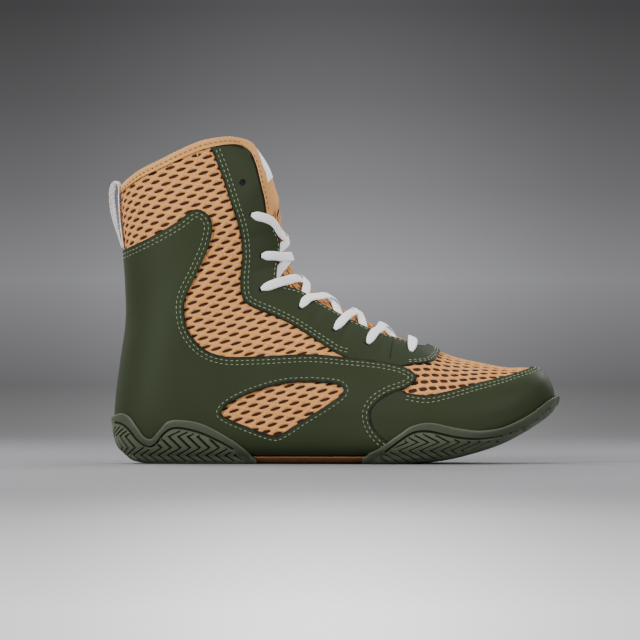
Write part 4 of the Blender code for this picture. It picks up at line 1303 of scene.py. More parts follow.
def make_knit(sizes):
    """Knit mesh of the shaft, the window and the vamp, with a lens opening in each cell."""
    throat, strip, _ = throat_lines()
    opening = np.concatenate((OPENING_START, strip, throat, OPENING_CLOSE))
    front = FRONT_START + FRONT_CORNER + tuple(point for point in THROAT_EDGE if point[1] > FRONT_TOP)
    past = np.concatenate((flowing(front), PAST_CLOSE))

    def shows(rows, shares, on_vamp):
        places = to_drawing(lifted(rows.ravel(), shares.ravel(), 0.0))
        if on_vamp:
            seen = (places[:, 0] > VAMP_START) & (rows.ravel() < VAMP_LAST_ROW)
        else:
            seen = (rise_over_hem(places, COLLAR_CUT) <= 0) & ~inside(places, opening)
        seen = (seen & ~covered(places)).reshape(rows.shape)
        return seen.any(axis=1) & ~inside(places, past).reshape(rows.shape).any(axis=1)

    vamp, length = ridge_map(*VAMP_ROWS)
    vamp_box = ((0.0, -VAMP_HALF), (length, VAMP_HALF))
    verts, faces, pits = join((
        knit(shaft_map(), SHAFT_BOX, SHAFT_KNIT, sizes, 0.0, lambda rows, shares: shows(rows, shares, False)),
        knit(vamp, vamp_box, VAMP_KNIT, sizes, 0.0, lambda rows, shares: shows(rows, shares, True))))
    piece = new_piece("knit_mesh", verts, faces, "tan knit mesh", {"pit": pits})
    weld(piece)
    face_out(piece)
    claim(piece, "mesh_fabric", "upper")


def face_out(obj):
    """Turns a sheet's faces away from the middle of the shoe where most of them look in."""
    mesh = obj.data
    normals = np.empty(len(mesh.polygons) * 3)
    centres = np.empty(len(mesh.polygons) * 3)
    mesh.polygons.foreach_get("normal", normals)
    mesh.polygons.foreach_get("center", centres)
    normals, centres = normals.reshape(-1, 3), centres.reshape(-1, 3)
    if (normals[:, 1] * centres[:, 1]).sum() < 0:
        mesh.flip_normals()


# Lining: how far it starts inside the throat and below the collar, where those edges meet, and the
# opening under the foot in rows and shares
LINING_LEVEL = -1.0 * MM
LINING_SPACING = 3.2 * MM
LINING_WELD = 0.3 * MM
LINING_EYELET = 1.9 * MM
THROAT_INSET = 4.5
COLLAR_INSET = 2.0
LINING_THROAT_TOP = 149
LINING_COLLAR_END = 254
LINING_RIDGE_STEPS = 60
FOOT_ROWS = np.linspace(2.4, 13.2, 50)
FOOT_HALF = 0.16


def make_lining(sizes):
    """Cloth lining behind the knit, open at the collar, the throat and under the foot."""
    throat = moved_line(flowing(THROAT_EDGE), THROAT_INSET)[::-1]
    collar = moved_line(flowing(COLLAR_LINE), COLLAR_INSET)[::-1]
    line = np.concatenate((throat[throat[:, 1] > LINING_THROAT_TOP], within(collar, high=LINING_COLLAR_END)))
    outer, inner = (half_line(line, side, 1, 0.0) for side in SIDES)
    outer = outer[outer[:, 1] < -SEAM_CLEAR]
    inner = inner[inner[:, 1] > SEAM_CLEAR - 2]
    ridge = np.linspace(0, outer[0, 0], LINING_RIDGE_STEPS)
    outer_ridge, inner_ridge = (np.stack((ridge, np.full(len(ridge), share)), -1) for share in (0.0, -2.0))
    outline = np.concatenate((outer_ridge, outer, at_seam(outer, -1, 1), inner[::-1], inner_ridge[::-1]))
    foot_edges = [np.stack((FOOT_ROWS, np.full(len(FOOT_ROWS), share)), -1)
                  for share in (FOOT_HALF - 1, -FOOT_HALF - 1)]
    under_foot = np.concatenate((foot_edges[0], foot_edges[1][::-1]))
    eyelets = [eyelet_ring(TOP_EYELET, side, LINING_EYELET) - (0, side + 1) for side in SIDES]
    rows, shares, faces, _ = panel(outline, LINING_SPACING, (under_foot, *eyelets))
    piece = new_piece("lining", lifted(rows, shares, LINING_LEVEL), faces, "brown lining cloth")
    weld(piece, LINING_WELD)
    give_body(piece, sizes.lining)
    claim(piece, "mesh_fabric")


# Tongue: its level below the last, its top edge, the row of its tip, how it falls off to its sides, and
# the rows and sizes of the hem where its knit begins
TONGUE_LEVEL = -2.9 * MM
TONGUE_TOP = ((237, 144), (246, 139.5), (256, 141.5))
TONGUE_TIP = ((6.7, 0.0),)
TONGUE_FALL, TONGUE_HALF = 0.35 * MM, 0.35
KNIT_SINK, SINK_ROW = 1.2 * MM, 15.2
HEM_RISE, HEM_ROW, HEM_ROWS = 1.0 * MM, 15.6, 0.45
TONGUE_KNIT_ROWS = (16.0, 6.9)
TONGUE_KNIT_HALF = 0.035
TONGUE_KNIT_RISE = 0.5 * MM
TONGUE_KNIT_TOP = 206
TONGUE_SEEN_CLOSE = ((440, 330), (330, 200), (280, 200))
PATCH_ROWS, PATCH_HALF = (17.4, 20.8), 0.092
PATCH_RISE = 0.55 * MM


def make_tongue(sizes):
    """Tongue: smooth tan cloth at the top, knit mesh below, and a plain white patch."""
    line = np.concatenate((flowing(TONGUE_EDGE), flowing(TONGUE_TOP)))
    outer, inner = (half_line(line, side, 0, 0.0) for side in SIDES)
    outline = np.concatenate((TONGUE_TIP, outer, at_seam(outer, -1, 0), inner[::-1]))
    rows, shares, faces, _ = panel(outline, 2.2 * MM)
    soft = TONGUE_LEVEL - TONGUE_FALL * (np.abs(shares) / TONGUE_HALF) ** 2
    soft -= KNIT_SINK * np.clip(SINK_ROW - rows, 0, 1)
    soft += HEM_RISE * np.exp(-((rows - HEM_ROW) / HEM_ROWS) ** 2)
    piece = new_piece("tongue_cloth", lifted(rows, shares, soft), faces, "tan edge tape")
    give_body(piece, 2.5 * MM, 0.8 * MM)
    claim(piece, "tongue_fabric", "tongue")

    throat = np.concatenate((flowing(THROAT_EDGE), TONGUE_SEEN_CLOSE))

    def shows(rows, shares):
        places = to_drawing(lifted(rows.ravel(), shares.ravel(), 0.0))
        seen = inside(places, throat).reshape(rows.shape)
        low_enough = (places[:, 1] > TONGUE_KNIT_TOP).reshape(rows.shape)
        return seen.any(axis=1) & low_enough.all(axis=1)

    place, length = ridge_map(*TONGUE_KNIT_ROWS)
    box = ((0.0, -TONGUE_KNIT_HALF), (length, TONGUE_KNIT_HALF))
    verts, cells, pits = knit(place, box, TONGUE_KNIT, sizes, TONGUE_LEVEL + TONGUE_KNIT_RISE, shows)
    mesh = new_piece("tongue_knit", verts, cells, "tan knit mesh", {"pit": pits})
    weld(mesh)
    face_out(mesh)
    claim(mesh, "tongue_fabric")

    low, high = PATCH_ROWS
    corners = np.array(((low, -PATCH_HALF), (low, PATCH_HALF), (high, PATCH_HALF), (high, -PATCH_HALF)))
    loop = evenly(np.concatenate((corners, corners[:1])), 0.05)[:-1]
    rows, shares, faces, _ = panel(loop, 1.5 * MM)
    verts = lifted(rows, shares, TONGUE_LEVEL + PATCH_RISE)
    patch = new_piece("tongue_patch", verts, faces, "white label cloth")
    give_body(patch, 0.6 * MM, 0.2 * MM)
    claim(patch, "white_tape")


def sweep(centres, outs, widths, profile, sides=None):
    """Points, faces and map of a closed profile carried along a line: profile is (across, out) in metres."""
    runs = unit(np.gradient(centres, axis=0))
    across = unit(np.cross(outs, runs) if sides is None else sides)
    outs = unit(np.cross(runs, across))
    count = len(profile)
    verts = (centres[:, None] + across[:, None] * (profile[None, :, :1] * widths[:, None, None])
             + outs[:, None] * profile[None, :, 1:]).reshape(-1, 3)
    maps = np.stack((np.repeat(run_along(centres), count), np.tile(profile[:, 0], len(centres))), -1)
    faces = []
    for i in range(len(centres) - 1):
        for k in range(count):
            n = (k + 1) % count
            faces.append((i * count + k, i * count + n, (i + 1) * count + n, (i + 1) * count + k))
    faces.append(tuple(range(count))[::-1])
    faces.append(tuple((len(centres) - 1) * count + k for k in range(count)))
    return verts, faces, maps


TAPE_SLIDES = 4


def laid_tape(rows, shares, sides, widths, profile):
    """Points, faces and map of a tape that follows the last on both sides of its fold."""
    columns = []
    for across, out in profile:
        row, share = rows, shares
        for _ in range(TAPE_SLIDES):
            row, share = slide(row, share, sides * (across * widths / TAPE_SLIDES)[:, None])
        columns.append(lifted(row, share, out))
    centres = lifted(rows, shares, 0.0)
    _, faces, maps = sweep(centres, normals_at(rows, shares), widths, profile, sides)
    return np.stack(columns, 1).reshape(-1, 3), faces, maps


def join(parts):
    """Points, faces and values on the points of several parts as one."""
    verts, faces, values = [], [], []
    start = 0
    for points, cells, numbers in parts:
        verts.append(points)
        values.append(numbers)
        faces += [tuple(start + i for i in face) for face in cells]
        start += len(points)
    return np.concatenate(verts), faces, np.concatenate(values)


def swept_piece(name, parts, material):
    """Object made of sweeps, with their map for the weave."""
    verts, faces, maps = join(parts)
    piece = new_piece(name, verts, faces, material)
    layer = piece.data.uv_layers.new(name="weave")
    index = np.empty(len(piece.data.loops), np.int32)
    piece.data.loops.foreach_get("vertex_index", index)
    layer.data.foreach_set("uv", maps[index].astype(np.float32).ravel())
    bm = bmesh.new()
    bm.from_mesh(piece.data)
    bmesh.ops.recalc_face_normals(bm, faces=bm.faces)
    bm.to_mesh(piece.data)
    bm.free()
    piece.data.set_sharp_from_angle(angle=math.radians(50))
    return piece


def curve_through(points, count):
    """Smooth line through places on the last with their lifts, with samples at even steps on the last."""
    points = np.asarray(points, float)
    dense = flowing(points, run_along(points)[-1] / (count * 3))
    run = run_along(dense[:, :2])
    goal = np.linspace(0, run[-1], count)
    return np.stack([np.interp(goal, run, column) for column in dense.T], -1)


# Collar tape: the run of its path on the drawing, its steps, where it widens to cover the front strip,
# and its profile with the inner leg: across in tape widths, out in mm
TAPE_FRONT = (150, 210)
TAPE_COLLAR_END = 244
TAPE_END = ((272, 214),)
TAPE_CLEAR = 0.01
TAPE_STEP = 1.4 * MM
TAPE_SMOOTHINGS = 4
TAPE_WIDENS = (240, 252)
TAPE_WIDTHS = (0.7, 1.6)
TAPE_OVERLAP = 0.5 * MM
TAPE_PROFILE = ((-1.00, 0.40), (-0.995, 1.10), (-0.95, 1.42), (-0.78, 1.45), (-0.70, 1.30), (-0.62, 1.50),
                (-0.25, 1.45), (-0.06, 1.15), (0.00, 0.35), (0.01, -0.90), (-0.03, -2.10), (-0.20, -2.85),
                (-0.85, -2.90), (-0.93, -2.60), (-0.93, -2.10), (-0.30, -2.05), (-0.30, 0.35))


def make_binding(sizes):
    """Folded edge tape over the collar that runs on down the front edges of the throat."""
    throat = tuple(point for point in THROAT_EDGE if TAPE_FRONT[0] < point[1] < TAPE_FRONT[1])
    collar = tuple(point for point in COLLAR_LINE if point[0] < TAPE_COLLAR_END)
    line = flowing(collar + FRONT_CORNER + throat + TAPE_END, 1.5)
    outer, inner = (half_line(line, side, 1, 0.0, clear=TAPE_CLEAR) for side in SIDES)
    whole = np.concatenate((outer[::-1], at_seam(outer, 0, 1), inner))
    rows, shares = evenly_on_last(whole, TAPE_STEP)
    for _ in range(TAPE_SMOOTHINGS):
        for values in (rows, shares):
            values[1:-1] = 0.25 * (values[:-2] + values[2:]) + 0.5 * values[1:-1]
    centres = lifted(rows, shares, 0.0)
    at_front = np.clip((to_drawing(centres)[:, 0] - TAPE_WIDENS[0]) / (TAPE_WIDENS[1] - TAPE_WIDENS[0]), 0, 1)
    strip = np.concatenate([lifted(*locate(flowing(BINDING_FRONT), side), 0.0) for side in SIDES])
    reach = np.linalg.norm(centres[:, None] - strip[None], axis=2).min(axis=1) + TAPE_OVERLAP
    wide = 1 + at_front * (np.clip(reach / sizes.binding_width, *TAPE_WIDTHS) - 1)
    profile = np.array(TAPE_PROFILE) * (sizes.binding_width, MM)
    sides = unit(np.cross(np.gradient(centres, axis=0), normals_at(rows, shares)))
    piece = swept_piece("collar_tape", [laid_tape(rows, shares, sides, wide, profile)], "tan edge tape")
    claim(piece, "edge_tape", "collar_binding")


def evenly_on_last(line, step):
    """Unrolled line sampled again at even steps on the last."""
    run = run_along(lifted(line[:, 0], line[:, 1], 0.0))
    keep = np.concatenate(([True], np.diff(run) > 1e-7))
    run, line = run[keep], line[keep]
    goal = np.linspace(0, run[-1], int(round(run[-1] / step)) + 1)
    return np.interp(goal, run, line[:, 0]), np.interp(goal, run, line[:, 1])


# Lace legs on the side drawing: start under the far edge, place on the ridge, then on to the near eyelet
LACE_LEGS = (
    ((394, 336), (384, 327), ((380, 328.5), (374, 333), (368, 343))),
    ((364, 325), (357, 313), ((352, 312.5), (345, 318), (335, 329))),
    ((340, 313), (331, 298.5), ((320, 296.5), (308, 299), (301, 307))),
    ((306, 294), (305, 280.5), ((290, 279.5), (275, 284), (261.5, 289))),
    ((279, 272), (289.5, 259.5), ((284, 257), (272, 256), (262, 256))),
    ((280, 250), (286, 242), ((281, 234), (271, 221.5), (252, 215))),
)
LACE_BAR = EYELETS[0]
LACE_STEPS = 34
BAR_STEPS = 40

# Lifts of a leg's points in mm, what is added where it crosses over the other, and how far it runs on
# under the edge
LEG_LIFTS = np.array((-1.7, -1.2, -0.5, 1.4, 2.2, 1.0))
LEG_OVER = np.array((0.0, 0.0, 1.6, 0.4, 0.0, 0.0))
LEG_TUCK = 1.18

# Pinches towards the eyelets: share of the run that narrows, and the share of the width that is left
LEG_PINCH, LEG_NARROW = 0.12, 0.42
BAR_PINCH, BAR_NARROW = 0.3, 0.45
BAR_WIDTH = 1.05


def flat_oval(width, thickness, count=14):
    """Profile of a flat cord with round edges."""
    turn = np.linspace(0, math.tau, count, endpoint=False)
    x, y = rounded(np.cos(turn), 0.7), rounded(np.sin(turn), 0.9)
    return np.stack((x * 0.5 * width, y * 0.5 * thickness), -1)


def pinched(left, run, narrow):
    """Width shares of a cord that narrows towards an eyelet: left is the share of its run still to go."""
    return narrow + (1 - narrow) * np.sin(0.5 * math.pi * np.clip(left / run, 0, 1))


def lace_leg(start, ridge, into, side, over, profile):
    """One lace stretch: out from under the far edge, over the ridge and down into an eyelet."""
    far_row, far_share = locate((start,), -side)
    ridge_row = locate((ridge,), side)[0][:1]
    near_rows, near_shares = locate(into, side, OVERLAY_LIFT)
    rows = np.concatenate((far_row, far_row, ridge_row, near_rows))
    shares = np.concatenate((far_share * LEG_TUCK, far_share, (0.0,), near_shares))
    lifts = (LEG_LIFTS + LEG_OVER * over) * MM
    line = curve_through(np.stack((rows * ROW_SIZE, shares * SHARE_SIZE, lifts), -1), LACE_STEPS)
    rows, shares, lifts = line[:, 0] / ROW_SIZE, line[:, 1] / SHARE_SIZE, line[:, 2]
    widths = pinched(np.linspace(1, 0, LACE_STEPS), LEG_PINCH, LEG_NARROW)
    return sweep(lifted(rows, shares, lifts), normals_at(rows, shares), widths, profile)


def make_lace(sizes):
    """White flat lace: a bar at the toe end and crossed stretches up to the top laced eyelets."""
    profile = flat_oval(sizes.lace_width, sizes.lace_thickness)
    (rows, start), (_, end) = (locate((LACE_BAR,), side, OVERLAY_LIFT) for side in SIDES)
    rows = np.full(BAR_STEPS, rows[0])
    shares = np.linspace(start[0], end[0], BAR_STEPS)
    t = np.linspace(-1, 1, BAR_STEPS)
    at_eyelet = np.clip((np.abs(t) - 0.8) / 0.2, 0, 1)
    in_middle = np.exp(-(t / 0.25) ** 2)
    lifts = (2.1 - 1.3 * at_eyelet - 1.2 * in_middle) * MM
    widths = BAR_WIDTH * pinched(1 - np.abs(t), BAR_PINCH, BAR_NARROW)
    parts = [sweep(lifted(rows, shares, lifts), normals_at(rows, shares), widths, profile)]
    for i, leg in enumerate(LACE_LEGS):
        for side in SIDES:
            over = 1.0 if (side < 0) == (i % 2 == 0) else 0.0
            parts.append(lace_leg(*leg, side, over, profile))
    piece = swept_piece("lace_cord", parts, "white woven lace")
    claim(piece, "lace_cord", "lace")


# Pull tape: its size, the section whose middle it follows, and in degrees how far it and its outer leg
# are turned
LOOP_WIDTH, LOOP_THICKNESS = 11.0 * MM, 1.3 * MM
LOOP_SECTION = SECTIONS[-3]
LOOP_TURN, LOOP_LEG_TURN = 3, 13
LOOP_BEND = (0.40, 0.16, 0.25)


def make_loop():
    """Folded white pull tape at the back of the heel."""
    path = flowing(LOOP_PATH, 1.0)
    outer, inner = LOOP_SECTION[4:6]
    middle = 0.5 * (outer + inner) * MM
    centres = np.stack(((path[:, 0] - DRAWING_MIDDLE) * UNIT, np.full(len(path), middle),
                        (FLOOR_LINE - path[:, 1]) * UNIT), -1)
    t = np.linspace(0, 1, len(path))
    start, rise, fall = LOOP_BEND
    outer_leg = np.clip((t - start) / rise, 0, 1) * np.clip((1 - t) / fall, 0, 1)
    turn = np.radians(LOOP_TURN + LOOP_LEG_TURN * outer_leg)
    sides = np.stack((np.sin(turn), np.cos(turn), np.zeros(len(path))), -1)
    outs = np.cross(np.gradient(centres, axis=0), sides)
    profile = flat_oval(LOOP_WIDTH, LOOP_THICKNESS, 20)
    tape = sweep(centres, outs, np.ones(len(path)), profile, sides)
    piece = swept_piece("pull_tape", [tape], "white woven tape")
    claim(piece, "white_tape", "pull_loop")


# Cup soles: distances of their outer face from the last at its sides and below it, the wall, the rounded
# rim, and half widths of chevrons and groove lines at the face and on the floor
SOLE_SIDE = 3.8 * MM
SOLE_UNDER = 6.2 * MM
SOLE_WALL = 1.9 * MM
RIM_ROUND = 0.55 * MM
CHEVRON_TOP = 1.30 * MM
CHEVRON_FLOOR = 0.90 * MM
LINE_TOP = 0.85 * MM
LINE_FLOOR = 0.52 * MM
SOLE_BOTTOM = ((362, 463.4), (400, 463.2), (430, 461.5), (460, 455), (490, 447), (520, 435.5), (540, 424.5),
               (550, 417), (557, 408))
HEEL_TIP = ((240, 454.5), (247, 461))
FOREFOOT_TIP = ((368, 463),)
HEEL_BOTTOM = ((100, FLOOR_LINE), (270, FLOOR_LINE))
SOLE_SPACING = 1.7 * MM
SOLE_WELD = 0.05 * MM

# Where lines of the tread begin and end, on the drawing
HEEL_LINE_START = 113.5
RIM_END = 557.5
TREAD_END = 537
LINE_END = 552
TOE_ROW = 0.02

# Chevrons: drawing x of the one numbered 0, and the numbers of the first and the one past the last
HEEL_CHEVRONS = (169.5, -9, 9)
FOREFOOT_CHEVRONS = (417, -5, 20)
CHEVRON_STEP = 0.9
CHEVRON_MARGINS = (2.1, 0.6)
CHEVRON_LEAST = 4
BACK_CLEAR = 0.3 * MM

# Marks on the rubber: painted shade in the pit of the grooves, painted light on the land of the tread, and
# how far below the tread's upper line the land starts
PIT_SHADE, LAND_LIGHT = 0.95, 0.8
LAND_START = 0.8


def on_sole(line, side):
    """Unrolled places of a side drawing line on the outer face of the cup sole."""
    return unrolled(line, side, 1, SOLE_SIDE, SOLE_UNDER)


def groove_offsets(half_top, half_floor):
    """Sideways offsets of a groove's four edges, and whether each lies on its floor."""
    return (-half_top, 0), (-half_floor, 1), (half_floor, 1), (half_top, 0)


def groove_lines(line, side, half_top, half_floor):
    """Four edges of a groove along a side drawing line, and whether each lies on its floor."""
    edges = []
    for offset, floor in groove_offsets(half_top, half_floor):
        moved = moved_line(line, offset / UNIT)
        edges.append((on_sole(moved[1:-1] if floor else moved, side), floor))
    return edges


RIM_DROP = 1.5
RIM_TRIM = 6
RIM_CLEAR = 0.02
RIM_FIRST_ROW = 0.3


def rim_line(rim, side):
    """Unrolled line just below a cup's rim, where its rounded edge begins."""
    line = on_sole(moved_line(rim, RIM_DROP)[RIM_TRIM:-RIM_TRIM], side)
    return line[(np.abs(line[:, 1] + 1) > RIM_CLEAR) & (line[:, 0] > RIM_FIRST_ROW)]


# The heel's tread is laid out along a level line from the back, and follows the back's slope near it
HEEL_LEVEL = 440.0
HEEL_FRONT = 270
HEEL_STEPS = np.linspace(0, 1, 120)
HEEL_BACK_ROWS = FINE_ROWS[250:]
HEEL_TURN = 14 * MM
FOREFOOT_X = np.linspace(355, 553, 160)


def heel_runs(side):
    """Functions from run round the heel and drawing height to drawing x on one side, and from x to run."""
    back = np.full(len(HEEL_BACK_ROWS), -1.0)
    back = to_drawing(lifted(HEEL_BACK_ROWS, back, SOLE_SIDE, SOLE_UNDER))
    back = back[np.argsort(back[:, 1])]
    start = np.interp(HEEL_LEVEL, back[:, 1], back[:, 0])
    x = start + (HEEL_FRONT - start) * HEEL_STEPS ** 2
    rows, shares = locate(np.stack((x, np.full(len(x), HEEL_LEVEL)), -1), side, SOLE_SIDE, SOLE_UNDER)
    run = run_along(lifted(rows, shares, SOLE_SIDE, SOLE_UNDER))

    def drawn_x(runs, heights):
        shift = np.interp(heights, back[:, 1], back[:, 0]) - start
        return np.interp(runs, run, x) + shift * np.exp(-runs / HEEL_TURN)
    return drawn_x, lambda px: np.interp(px, x, run)


def forefoot_runs(side):
    """Functions from run along the forefoot's edge to drawing x on one side, and from x to run."""
    ends = section(np.interp(FOREFOOT_X, FINE_ENDS["base_x"][::-1], FINE_ROWS[::-1]))
    y = (ends["outer"] if side < 0 else ends["inner"]) * MM
    run = run_along(np.stack((FOREFOOT_X * UNIT, y), -1))
    return lambda runs, heights: np.interp(runs, run, FOREFOOT_X), lambda px: np.interp(px, FOREFOOT_X, run)


def chevrons(zigzag, pitch, numbers, maps, upper, lower):
    """Zigzag grooves between two lines: four edges of each on the drawing, and which lie on its floor."""
    drawn_x, run_at = maps
    anchor, first, last = numbers
    knots = np.array(zigzag, float)
    heights = np.unique(np.concatenate((np.arange(knots[0, 0], knots[-1, 0], CHEVRON_STEP), knots[:, 0])))
    grooves = []
    for k in range(first, last):
        runs = run_at(anchor) + (pitch * k + np.interp(heights, knots[:, 0], knots[:, 1])) * UNIT
        x = drawn_x(np.maximum(runs, 0), heights)
        good = runs > CHEVRON_TOP + BACK_CLEAR
        good &= heights > np.interp(x, upper[:, 0], upper[:, 1]) + CHEVRON_MARGINS[0]
        good &= heights < np.interp(x, lower[:, 0], lower[:, 1]) - CHEVRON_MARGINS[1]
        good &= (x < upper[:, 0].max()) & (x > upper[:, 0].min())
        marks = np.flatnonzero(np.diff(np.concatenate(([0], good.astype(int), [0]))))
        for begin, end in zip(marks[::2], marks[1::2]):
            if end - begin < CHEVRON_LEAST:
                continue
            edges = []
            for offset, floor in groove_offsets(CHEVRON_TOP, CHEVRON_FLOOR):
                y = heights[begin + floor:end - floor]
                x = drawn_x(runs[begin + floor:end - floor] + offset, y)
                edges.append((np.stack((x, y), -1), floor))
            grooves.append(edges)
    return grooves


def tread(line, zigzag, pitch, numbers, runs, upper, lower):
    """Groove line and chevrons of a cup on both sides of the shoe."""
    grooves = []
    for side in SIDES:
        grooves.append(groove_lines(line, side, LINE_TOP, LINE_FLOOR))
        for edges in chevrons(zigzag, pitch, numbers, runs(side), upper, np.array(lower)):
            grooves.append([(on_sole(edge, side), floor) for edge, floor in edges])
    return grooves


def make_sole(name, node, outline, grooves, rim, upper, depth):
    """Cup sole piece with a rounded rim, its groove line and its chevrons below the tread's upper line."""
    lines = [rim_line(rim, side) for side in SIDES]
    floors = [0.0] * len(lines)
    for edges in grooves:
        for line, floor in edges:
            lines.append(line)
            floors.append(depth * floor)
    rows, shares, faces, sunk = panel(outline, SOLE_SPACING, (), lines, floors, RIM_ROUND)
    verts = rounded_toe(rows, shares, SOLE_SIDE, SOLE_UNDER)
    verts = verts - normals_at(np.maximum(rows, 0), shares) * sunk[:, None]
    verts[:, 2] = np.maximum(verts[:, 2], 0.0)
    places = to_drawing(verts)
    land = places[:, 1] > np.interp(places[:, 0], upper[:, 0], upper[:, 1]) + LAND_START
    # Painted light on the rim's rounded edge and the land, painted shade in the grooves
    at_rim = np.isclose(sunk, RIM_ROUND)
    marks = {"pit": ((sunk > RIM_ROUND) & ~at_rim) * PIT_SHADE, "rim": at_rim, "land": land * LAND_LIGHT}
    piece = new_piece(name, verts, faces, "grey green rubber", marks)
    weld(piece, SOLE_WELD)
    give_body(piece, SOLE_WALL)
    claim(piece, "sole_rubber", node)


def make_heel_sole(sizes):
    """Heel cup."""
    rim, line = flowing(HEEL_RIM), flowing(HEEL_GROOVE)
    upper = np.concatenate((line, HEEL_TIP))
    grooves = tread(within(line, low=HEEL_LINE_START), HEEL_ZIGZAG, HEEL_PITCH, HEEL_CHEVRONS, heel_runs,
                    upper, HEEL_BOTTOM)
    outline = both_sides(rim, 1, SOLE_SIDE, SOLE_UNDER)
    make_sole("heel_cup", "outsole_heel", outline, grooves, rim, upper, sizes.groove_depth)


CHORD_STEPS = 14


def toe_chord(share, ridge):
    """Unrolled line over the blunt toe end that keeps the rim's height, from its side to the ridge."""
    shares = np.linspace(share, ridge, CHORD_STEPS)
    middle = lifted(np.zeros(len(TOE_RING)), TOE_RING, SOLE_SIDE)[:, 2].mean()
    rise = lifted(np.zeros(CHORD_STEPS), shares, SOLE_SIDE, SOLE_UNDER)[:, 2] - middle
    turn = np.arccos(np.clip(rise[0] / np.maximum(rise, 1e-6), 0, 1))
    return np.stack((-TOE_END * turn / (0.5 * math.pi), shares), -1)[1:]


def make_forefoot_sole(sizes):
    """Forefoot cup, turned up round the toe."""
    rim, line = within(flowing(FOREFOOT_RIM), high=RIM_END), flowing(FOREFOOT_GROOVE)
    outer, inner = (places[places[:, 0] > TOE_ROW] for places in (on_sole(rim, side) for side in SIDES))
    tip = np.array(((-TOE_END, 0.0), (-TOE_END, -2.0)))
    outline = np.concatenate((outer, toe_chord(outer[-1, 1], 0.0), tip, toe_chord(inner[-1, 1], -2.0)[::-1],
                              inner[::-1], at_seam(inner, 0, 1)))
    upper = np.concatenate((FOREFOOT_TIP, within(line, high=TREAD_END)))
    grooves = tread(within(line, high=LINE_END), FOREFOOT_ZIGZAG, FOREFOOT_PITCH, FOREFOOT_CHEVRONS,
                    forefoot_runs, upper, SOLE_BOTTOM)
    make_sole("forefoot_cup", "outsole_forefoot", outline, grooves, rim, upper, sizes.groove_depth)


# Arch bridge: its run and top edge on the drawing, its distances from the last, and how far it clears the
# floor
ARCH_X = np.linspace(254, 364, 60)
ARCH_TOP = 457.2
ARCH_SIDE, ARCH_UNDER = 1.5 * MM, 4.6 * MM
ARCH_CLEAR = 0.2 * MM


def make_arch():
    """Brown bridge under the waist."""
    top = np.stack((ARCH_X, np.full(len(ARCH_X), ARCH_TOP)), -1)
    outer, inner = (unrolled(top, side, 1, ARCH_SIDE, ARCH_UNDER) for side in SIDES)
    rows, shares, faces, _ = panel(np.concatenate((outer, inner[::-1])), 2.2 * MM)
    verts = lifted(rows, shares, ARCH_SIDE, ARCH_UNDER)
    verts[:, 2] = np.maximum(verts[:, 2], ARCH_CLEAR)
    piece = new_piece("arch_rubber", verts, faces, "brown rubber", {"pit": np.zeros(len(verts))})
    give_body(piece, 1.2 * MM)
    claim(piece, "arch_rubber", "arch_bridge")


# Footbed: its edge's height and distance from the last, where its heel ends, its steps and how deep it is
# dished
BED_HEIGHT, BED_CLEAR = 6.8 * MM, -2.7 * MM
BED_HEEL = 122.5
BED_STEP = 3.0
BED_COLUMNS = 31
BED_DISH = 1.6 * MM


def make_insole():
    """Dished footbed inside the upper, turned up a little at its edge."""
    line = base_line(BED_HEIGHT)[4:]
    x, y = line[-1]
    line = np.concatenate((line, np.stack((np.linspace(x - 2, BED_HEEL, 16), np.full(16, y)), -1)))
    line = evenly(line, BED_STEP)
    outer, inner = (lifted(*locate(line, side, BED_CLEAR), BED_CLEAR)[:, None] for side in SIDES)
    across = np.linspace(0, 1, BED_COLUMNS)[None, :, None]
    verts = outer * (1 - across) + inner * across
    verts[..., 2:] -= BED_DISH * (1 - np.abs(2 * across - 1) ** 4)
    faces = [(i + k, i + k + 1, i + BED_COLUMNS + k + 1, i + BED_COLUMNS + k)
             for i in range(0, (len(line) - 1) * BED_COLUMNS, BED_COLUMNS) for k in range(BED_COLUMNS - 1)]
    piece = new_piece("footbed", verts.reshape(-1, 3), faces, "dark footbed cloth")
    weld(piece, SOLE_WELD)
    upward = np.empty(len(piece.data.polygons) * 3)
    piece.data.polygons.foreach_get("normal", upward)
    if upward[2::3].sum() < 0:
        piece.data.flip_normals()
    give_body(piece, 2.4 * MM)
    claim(piece, "footbed", "insole")


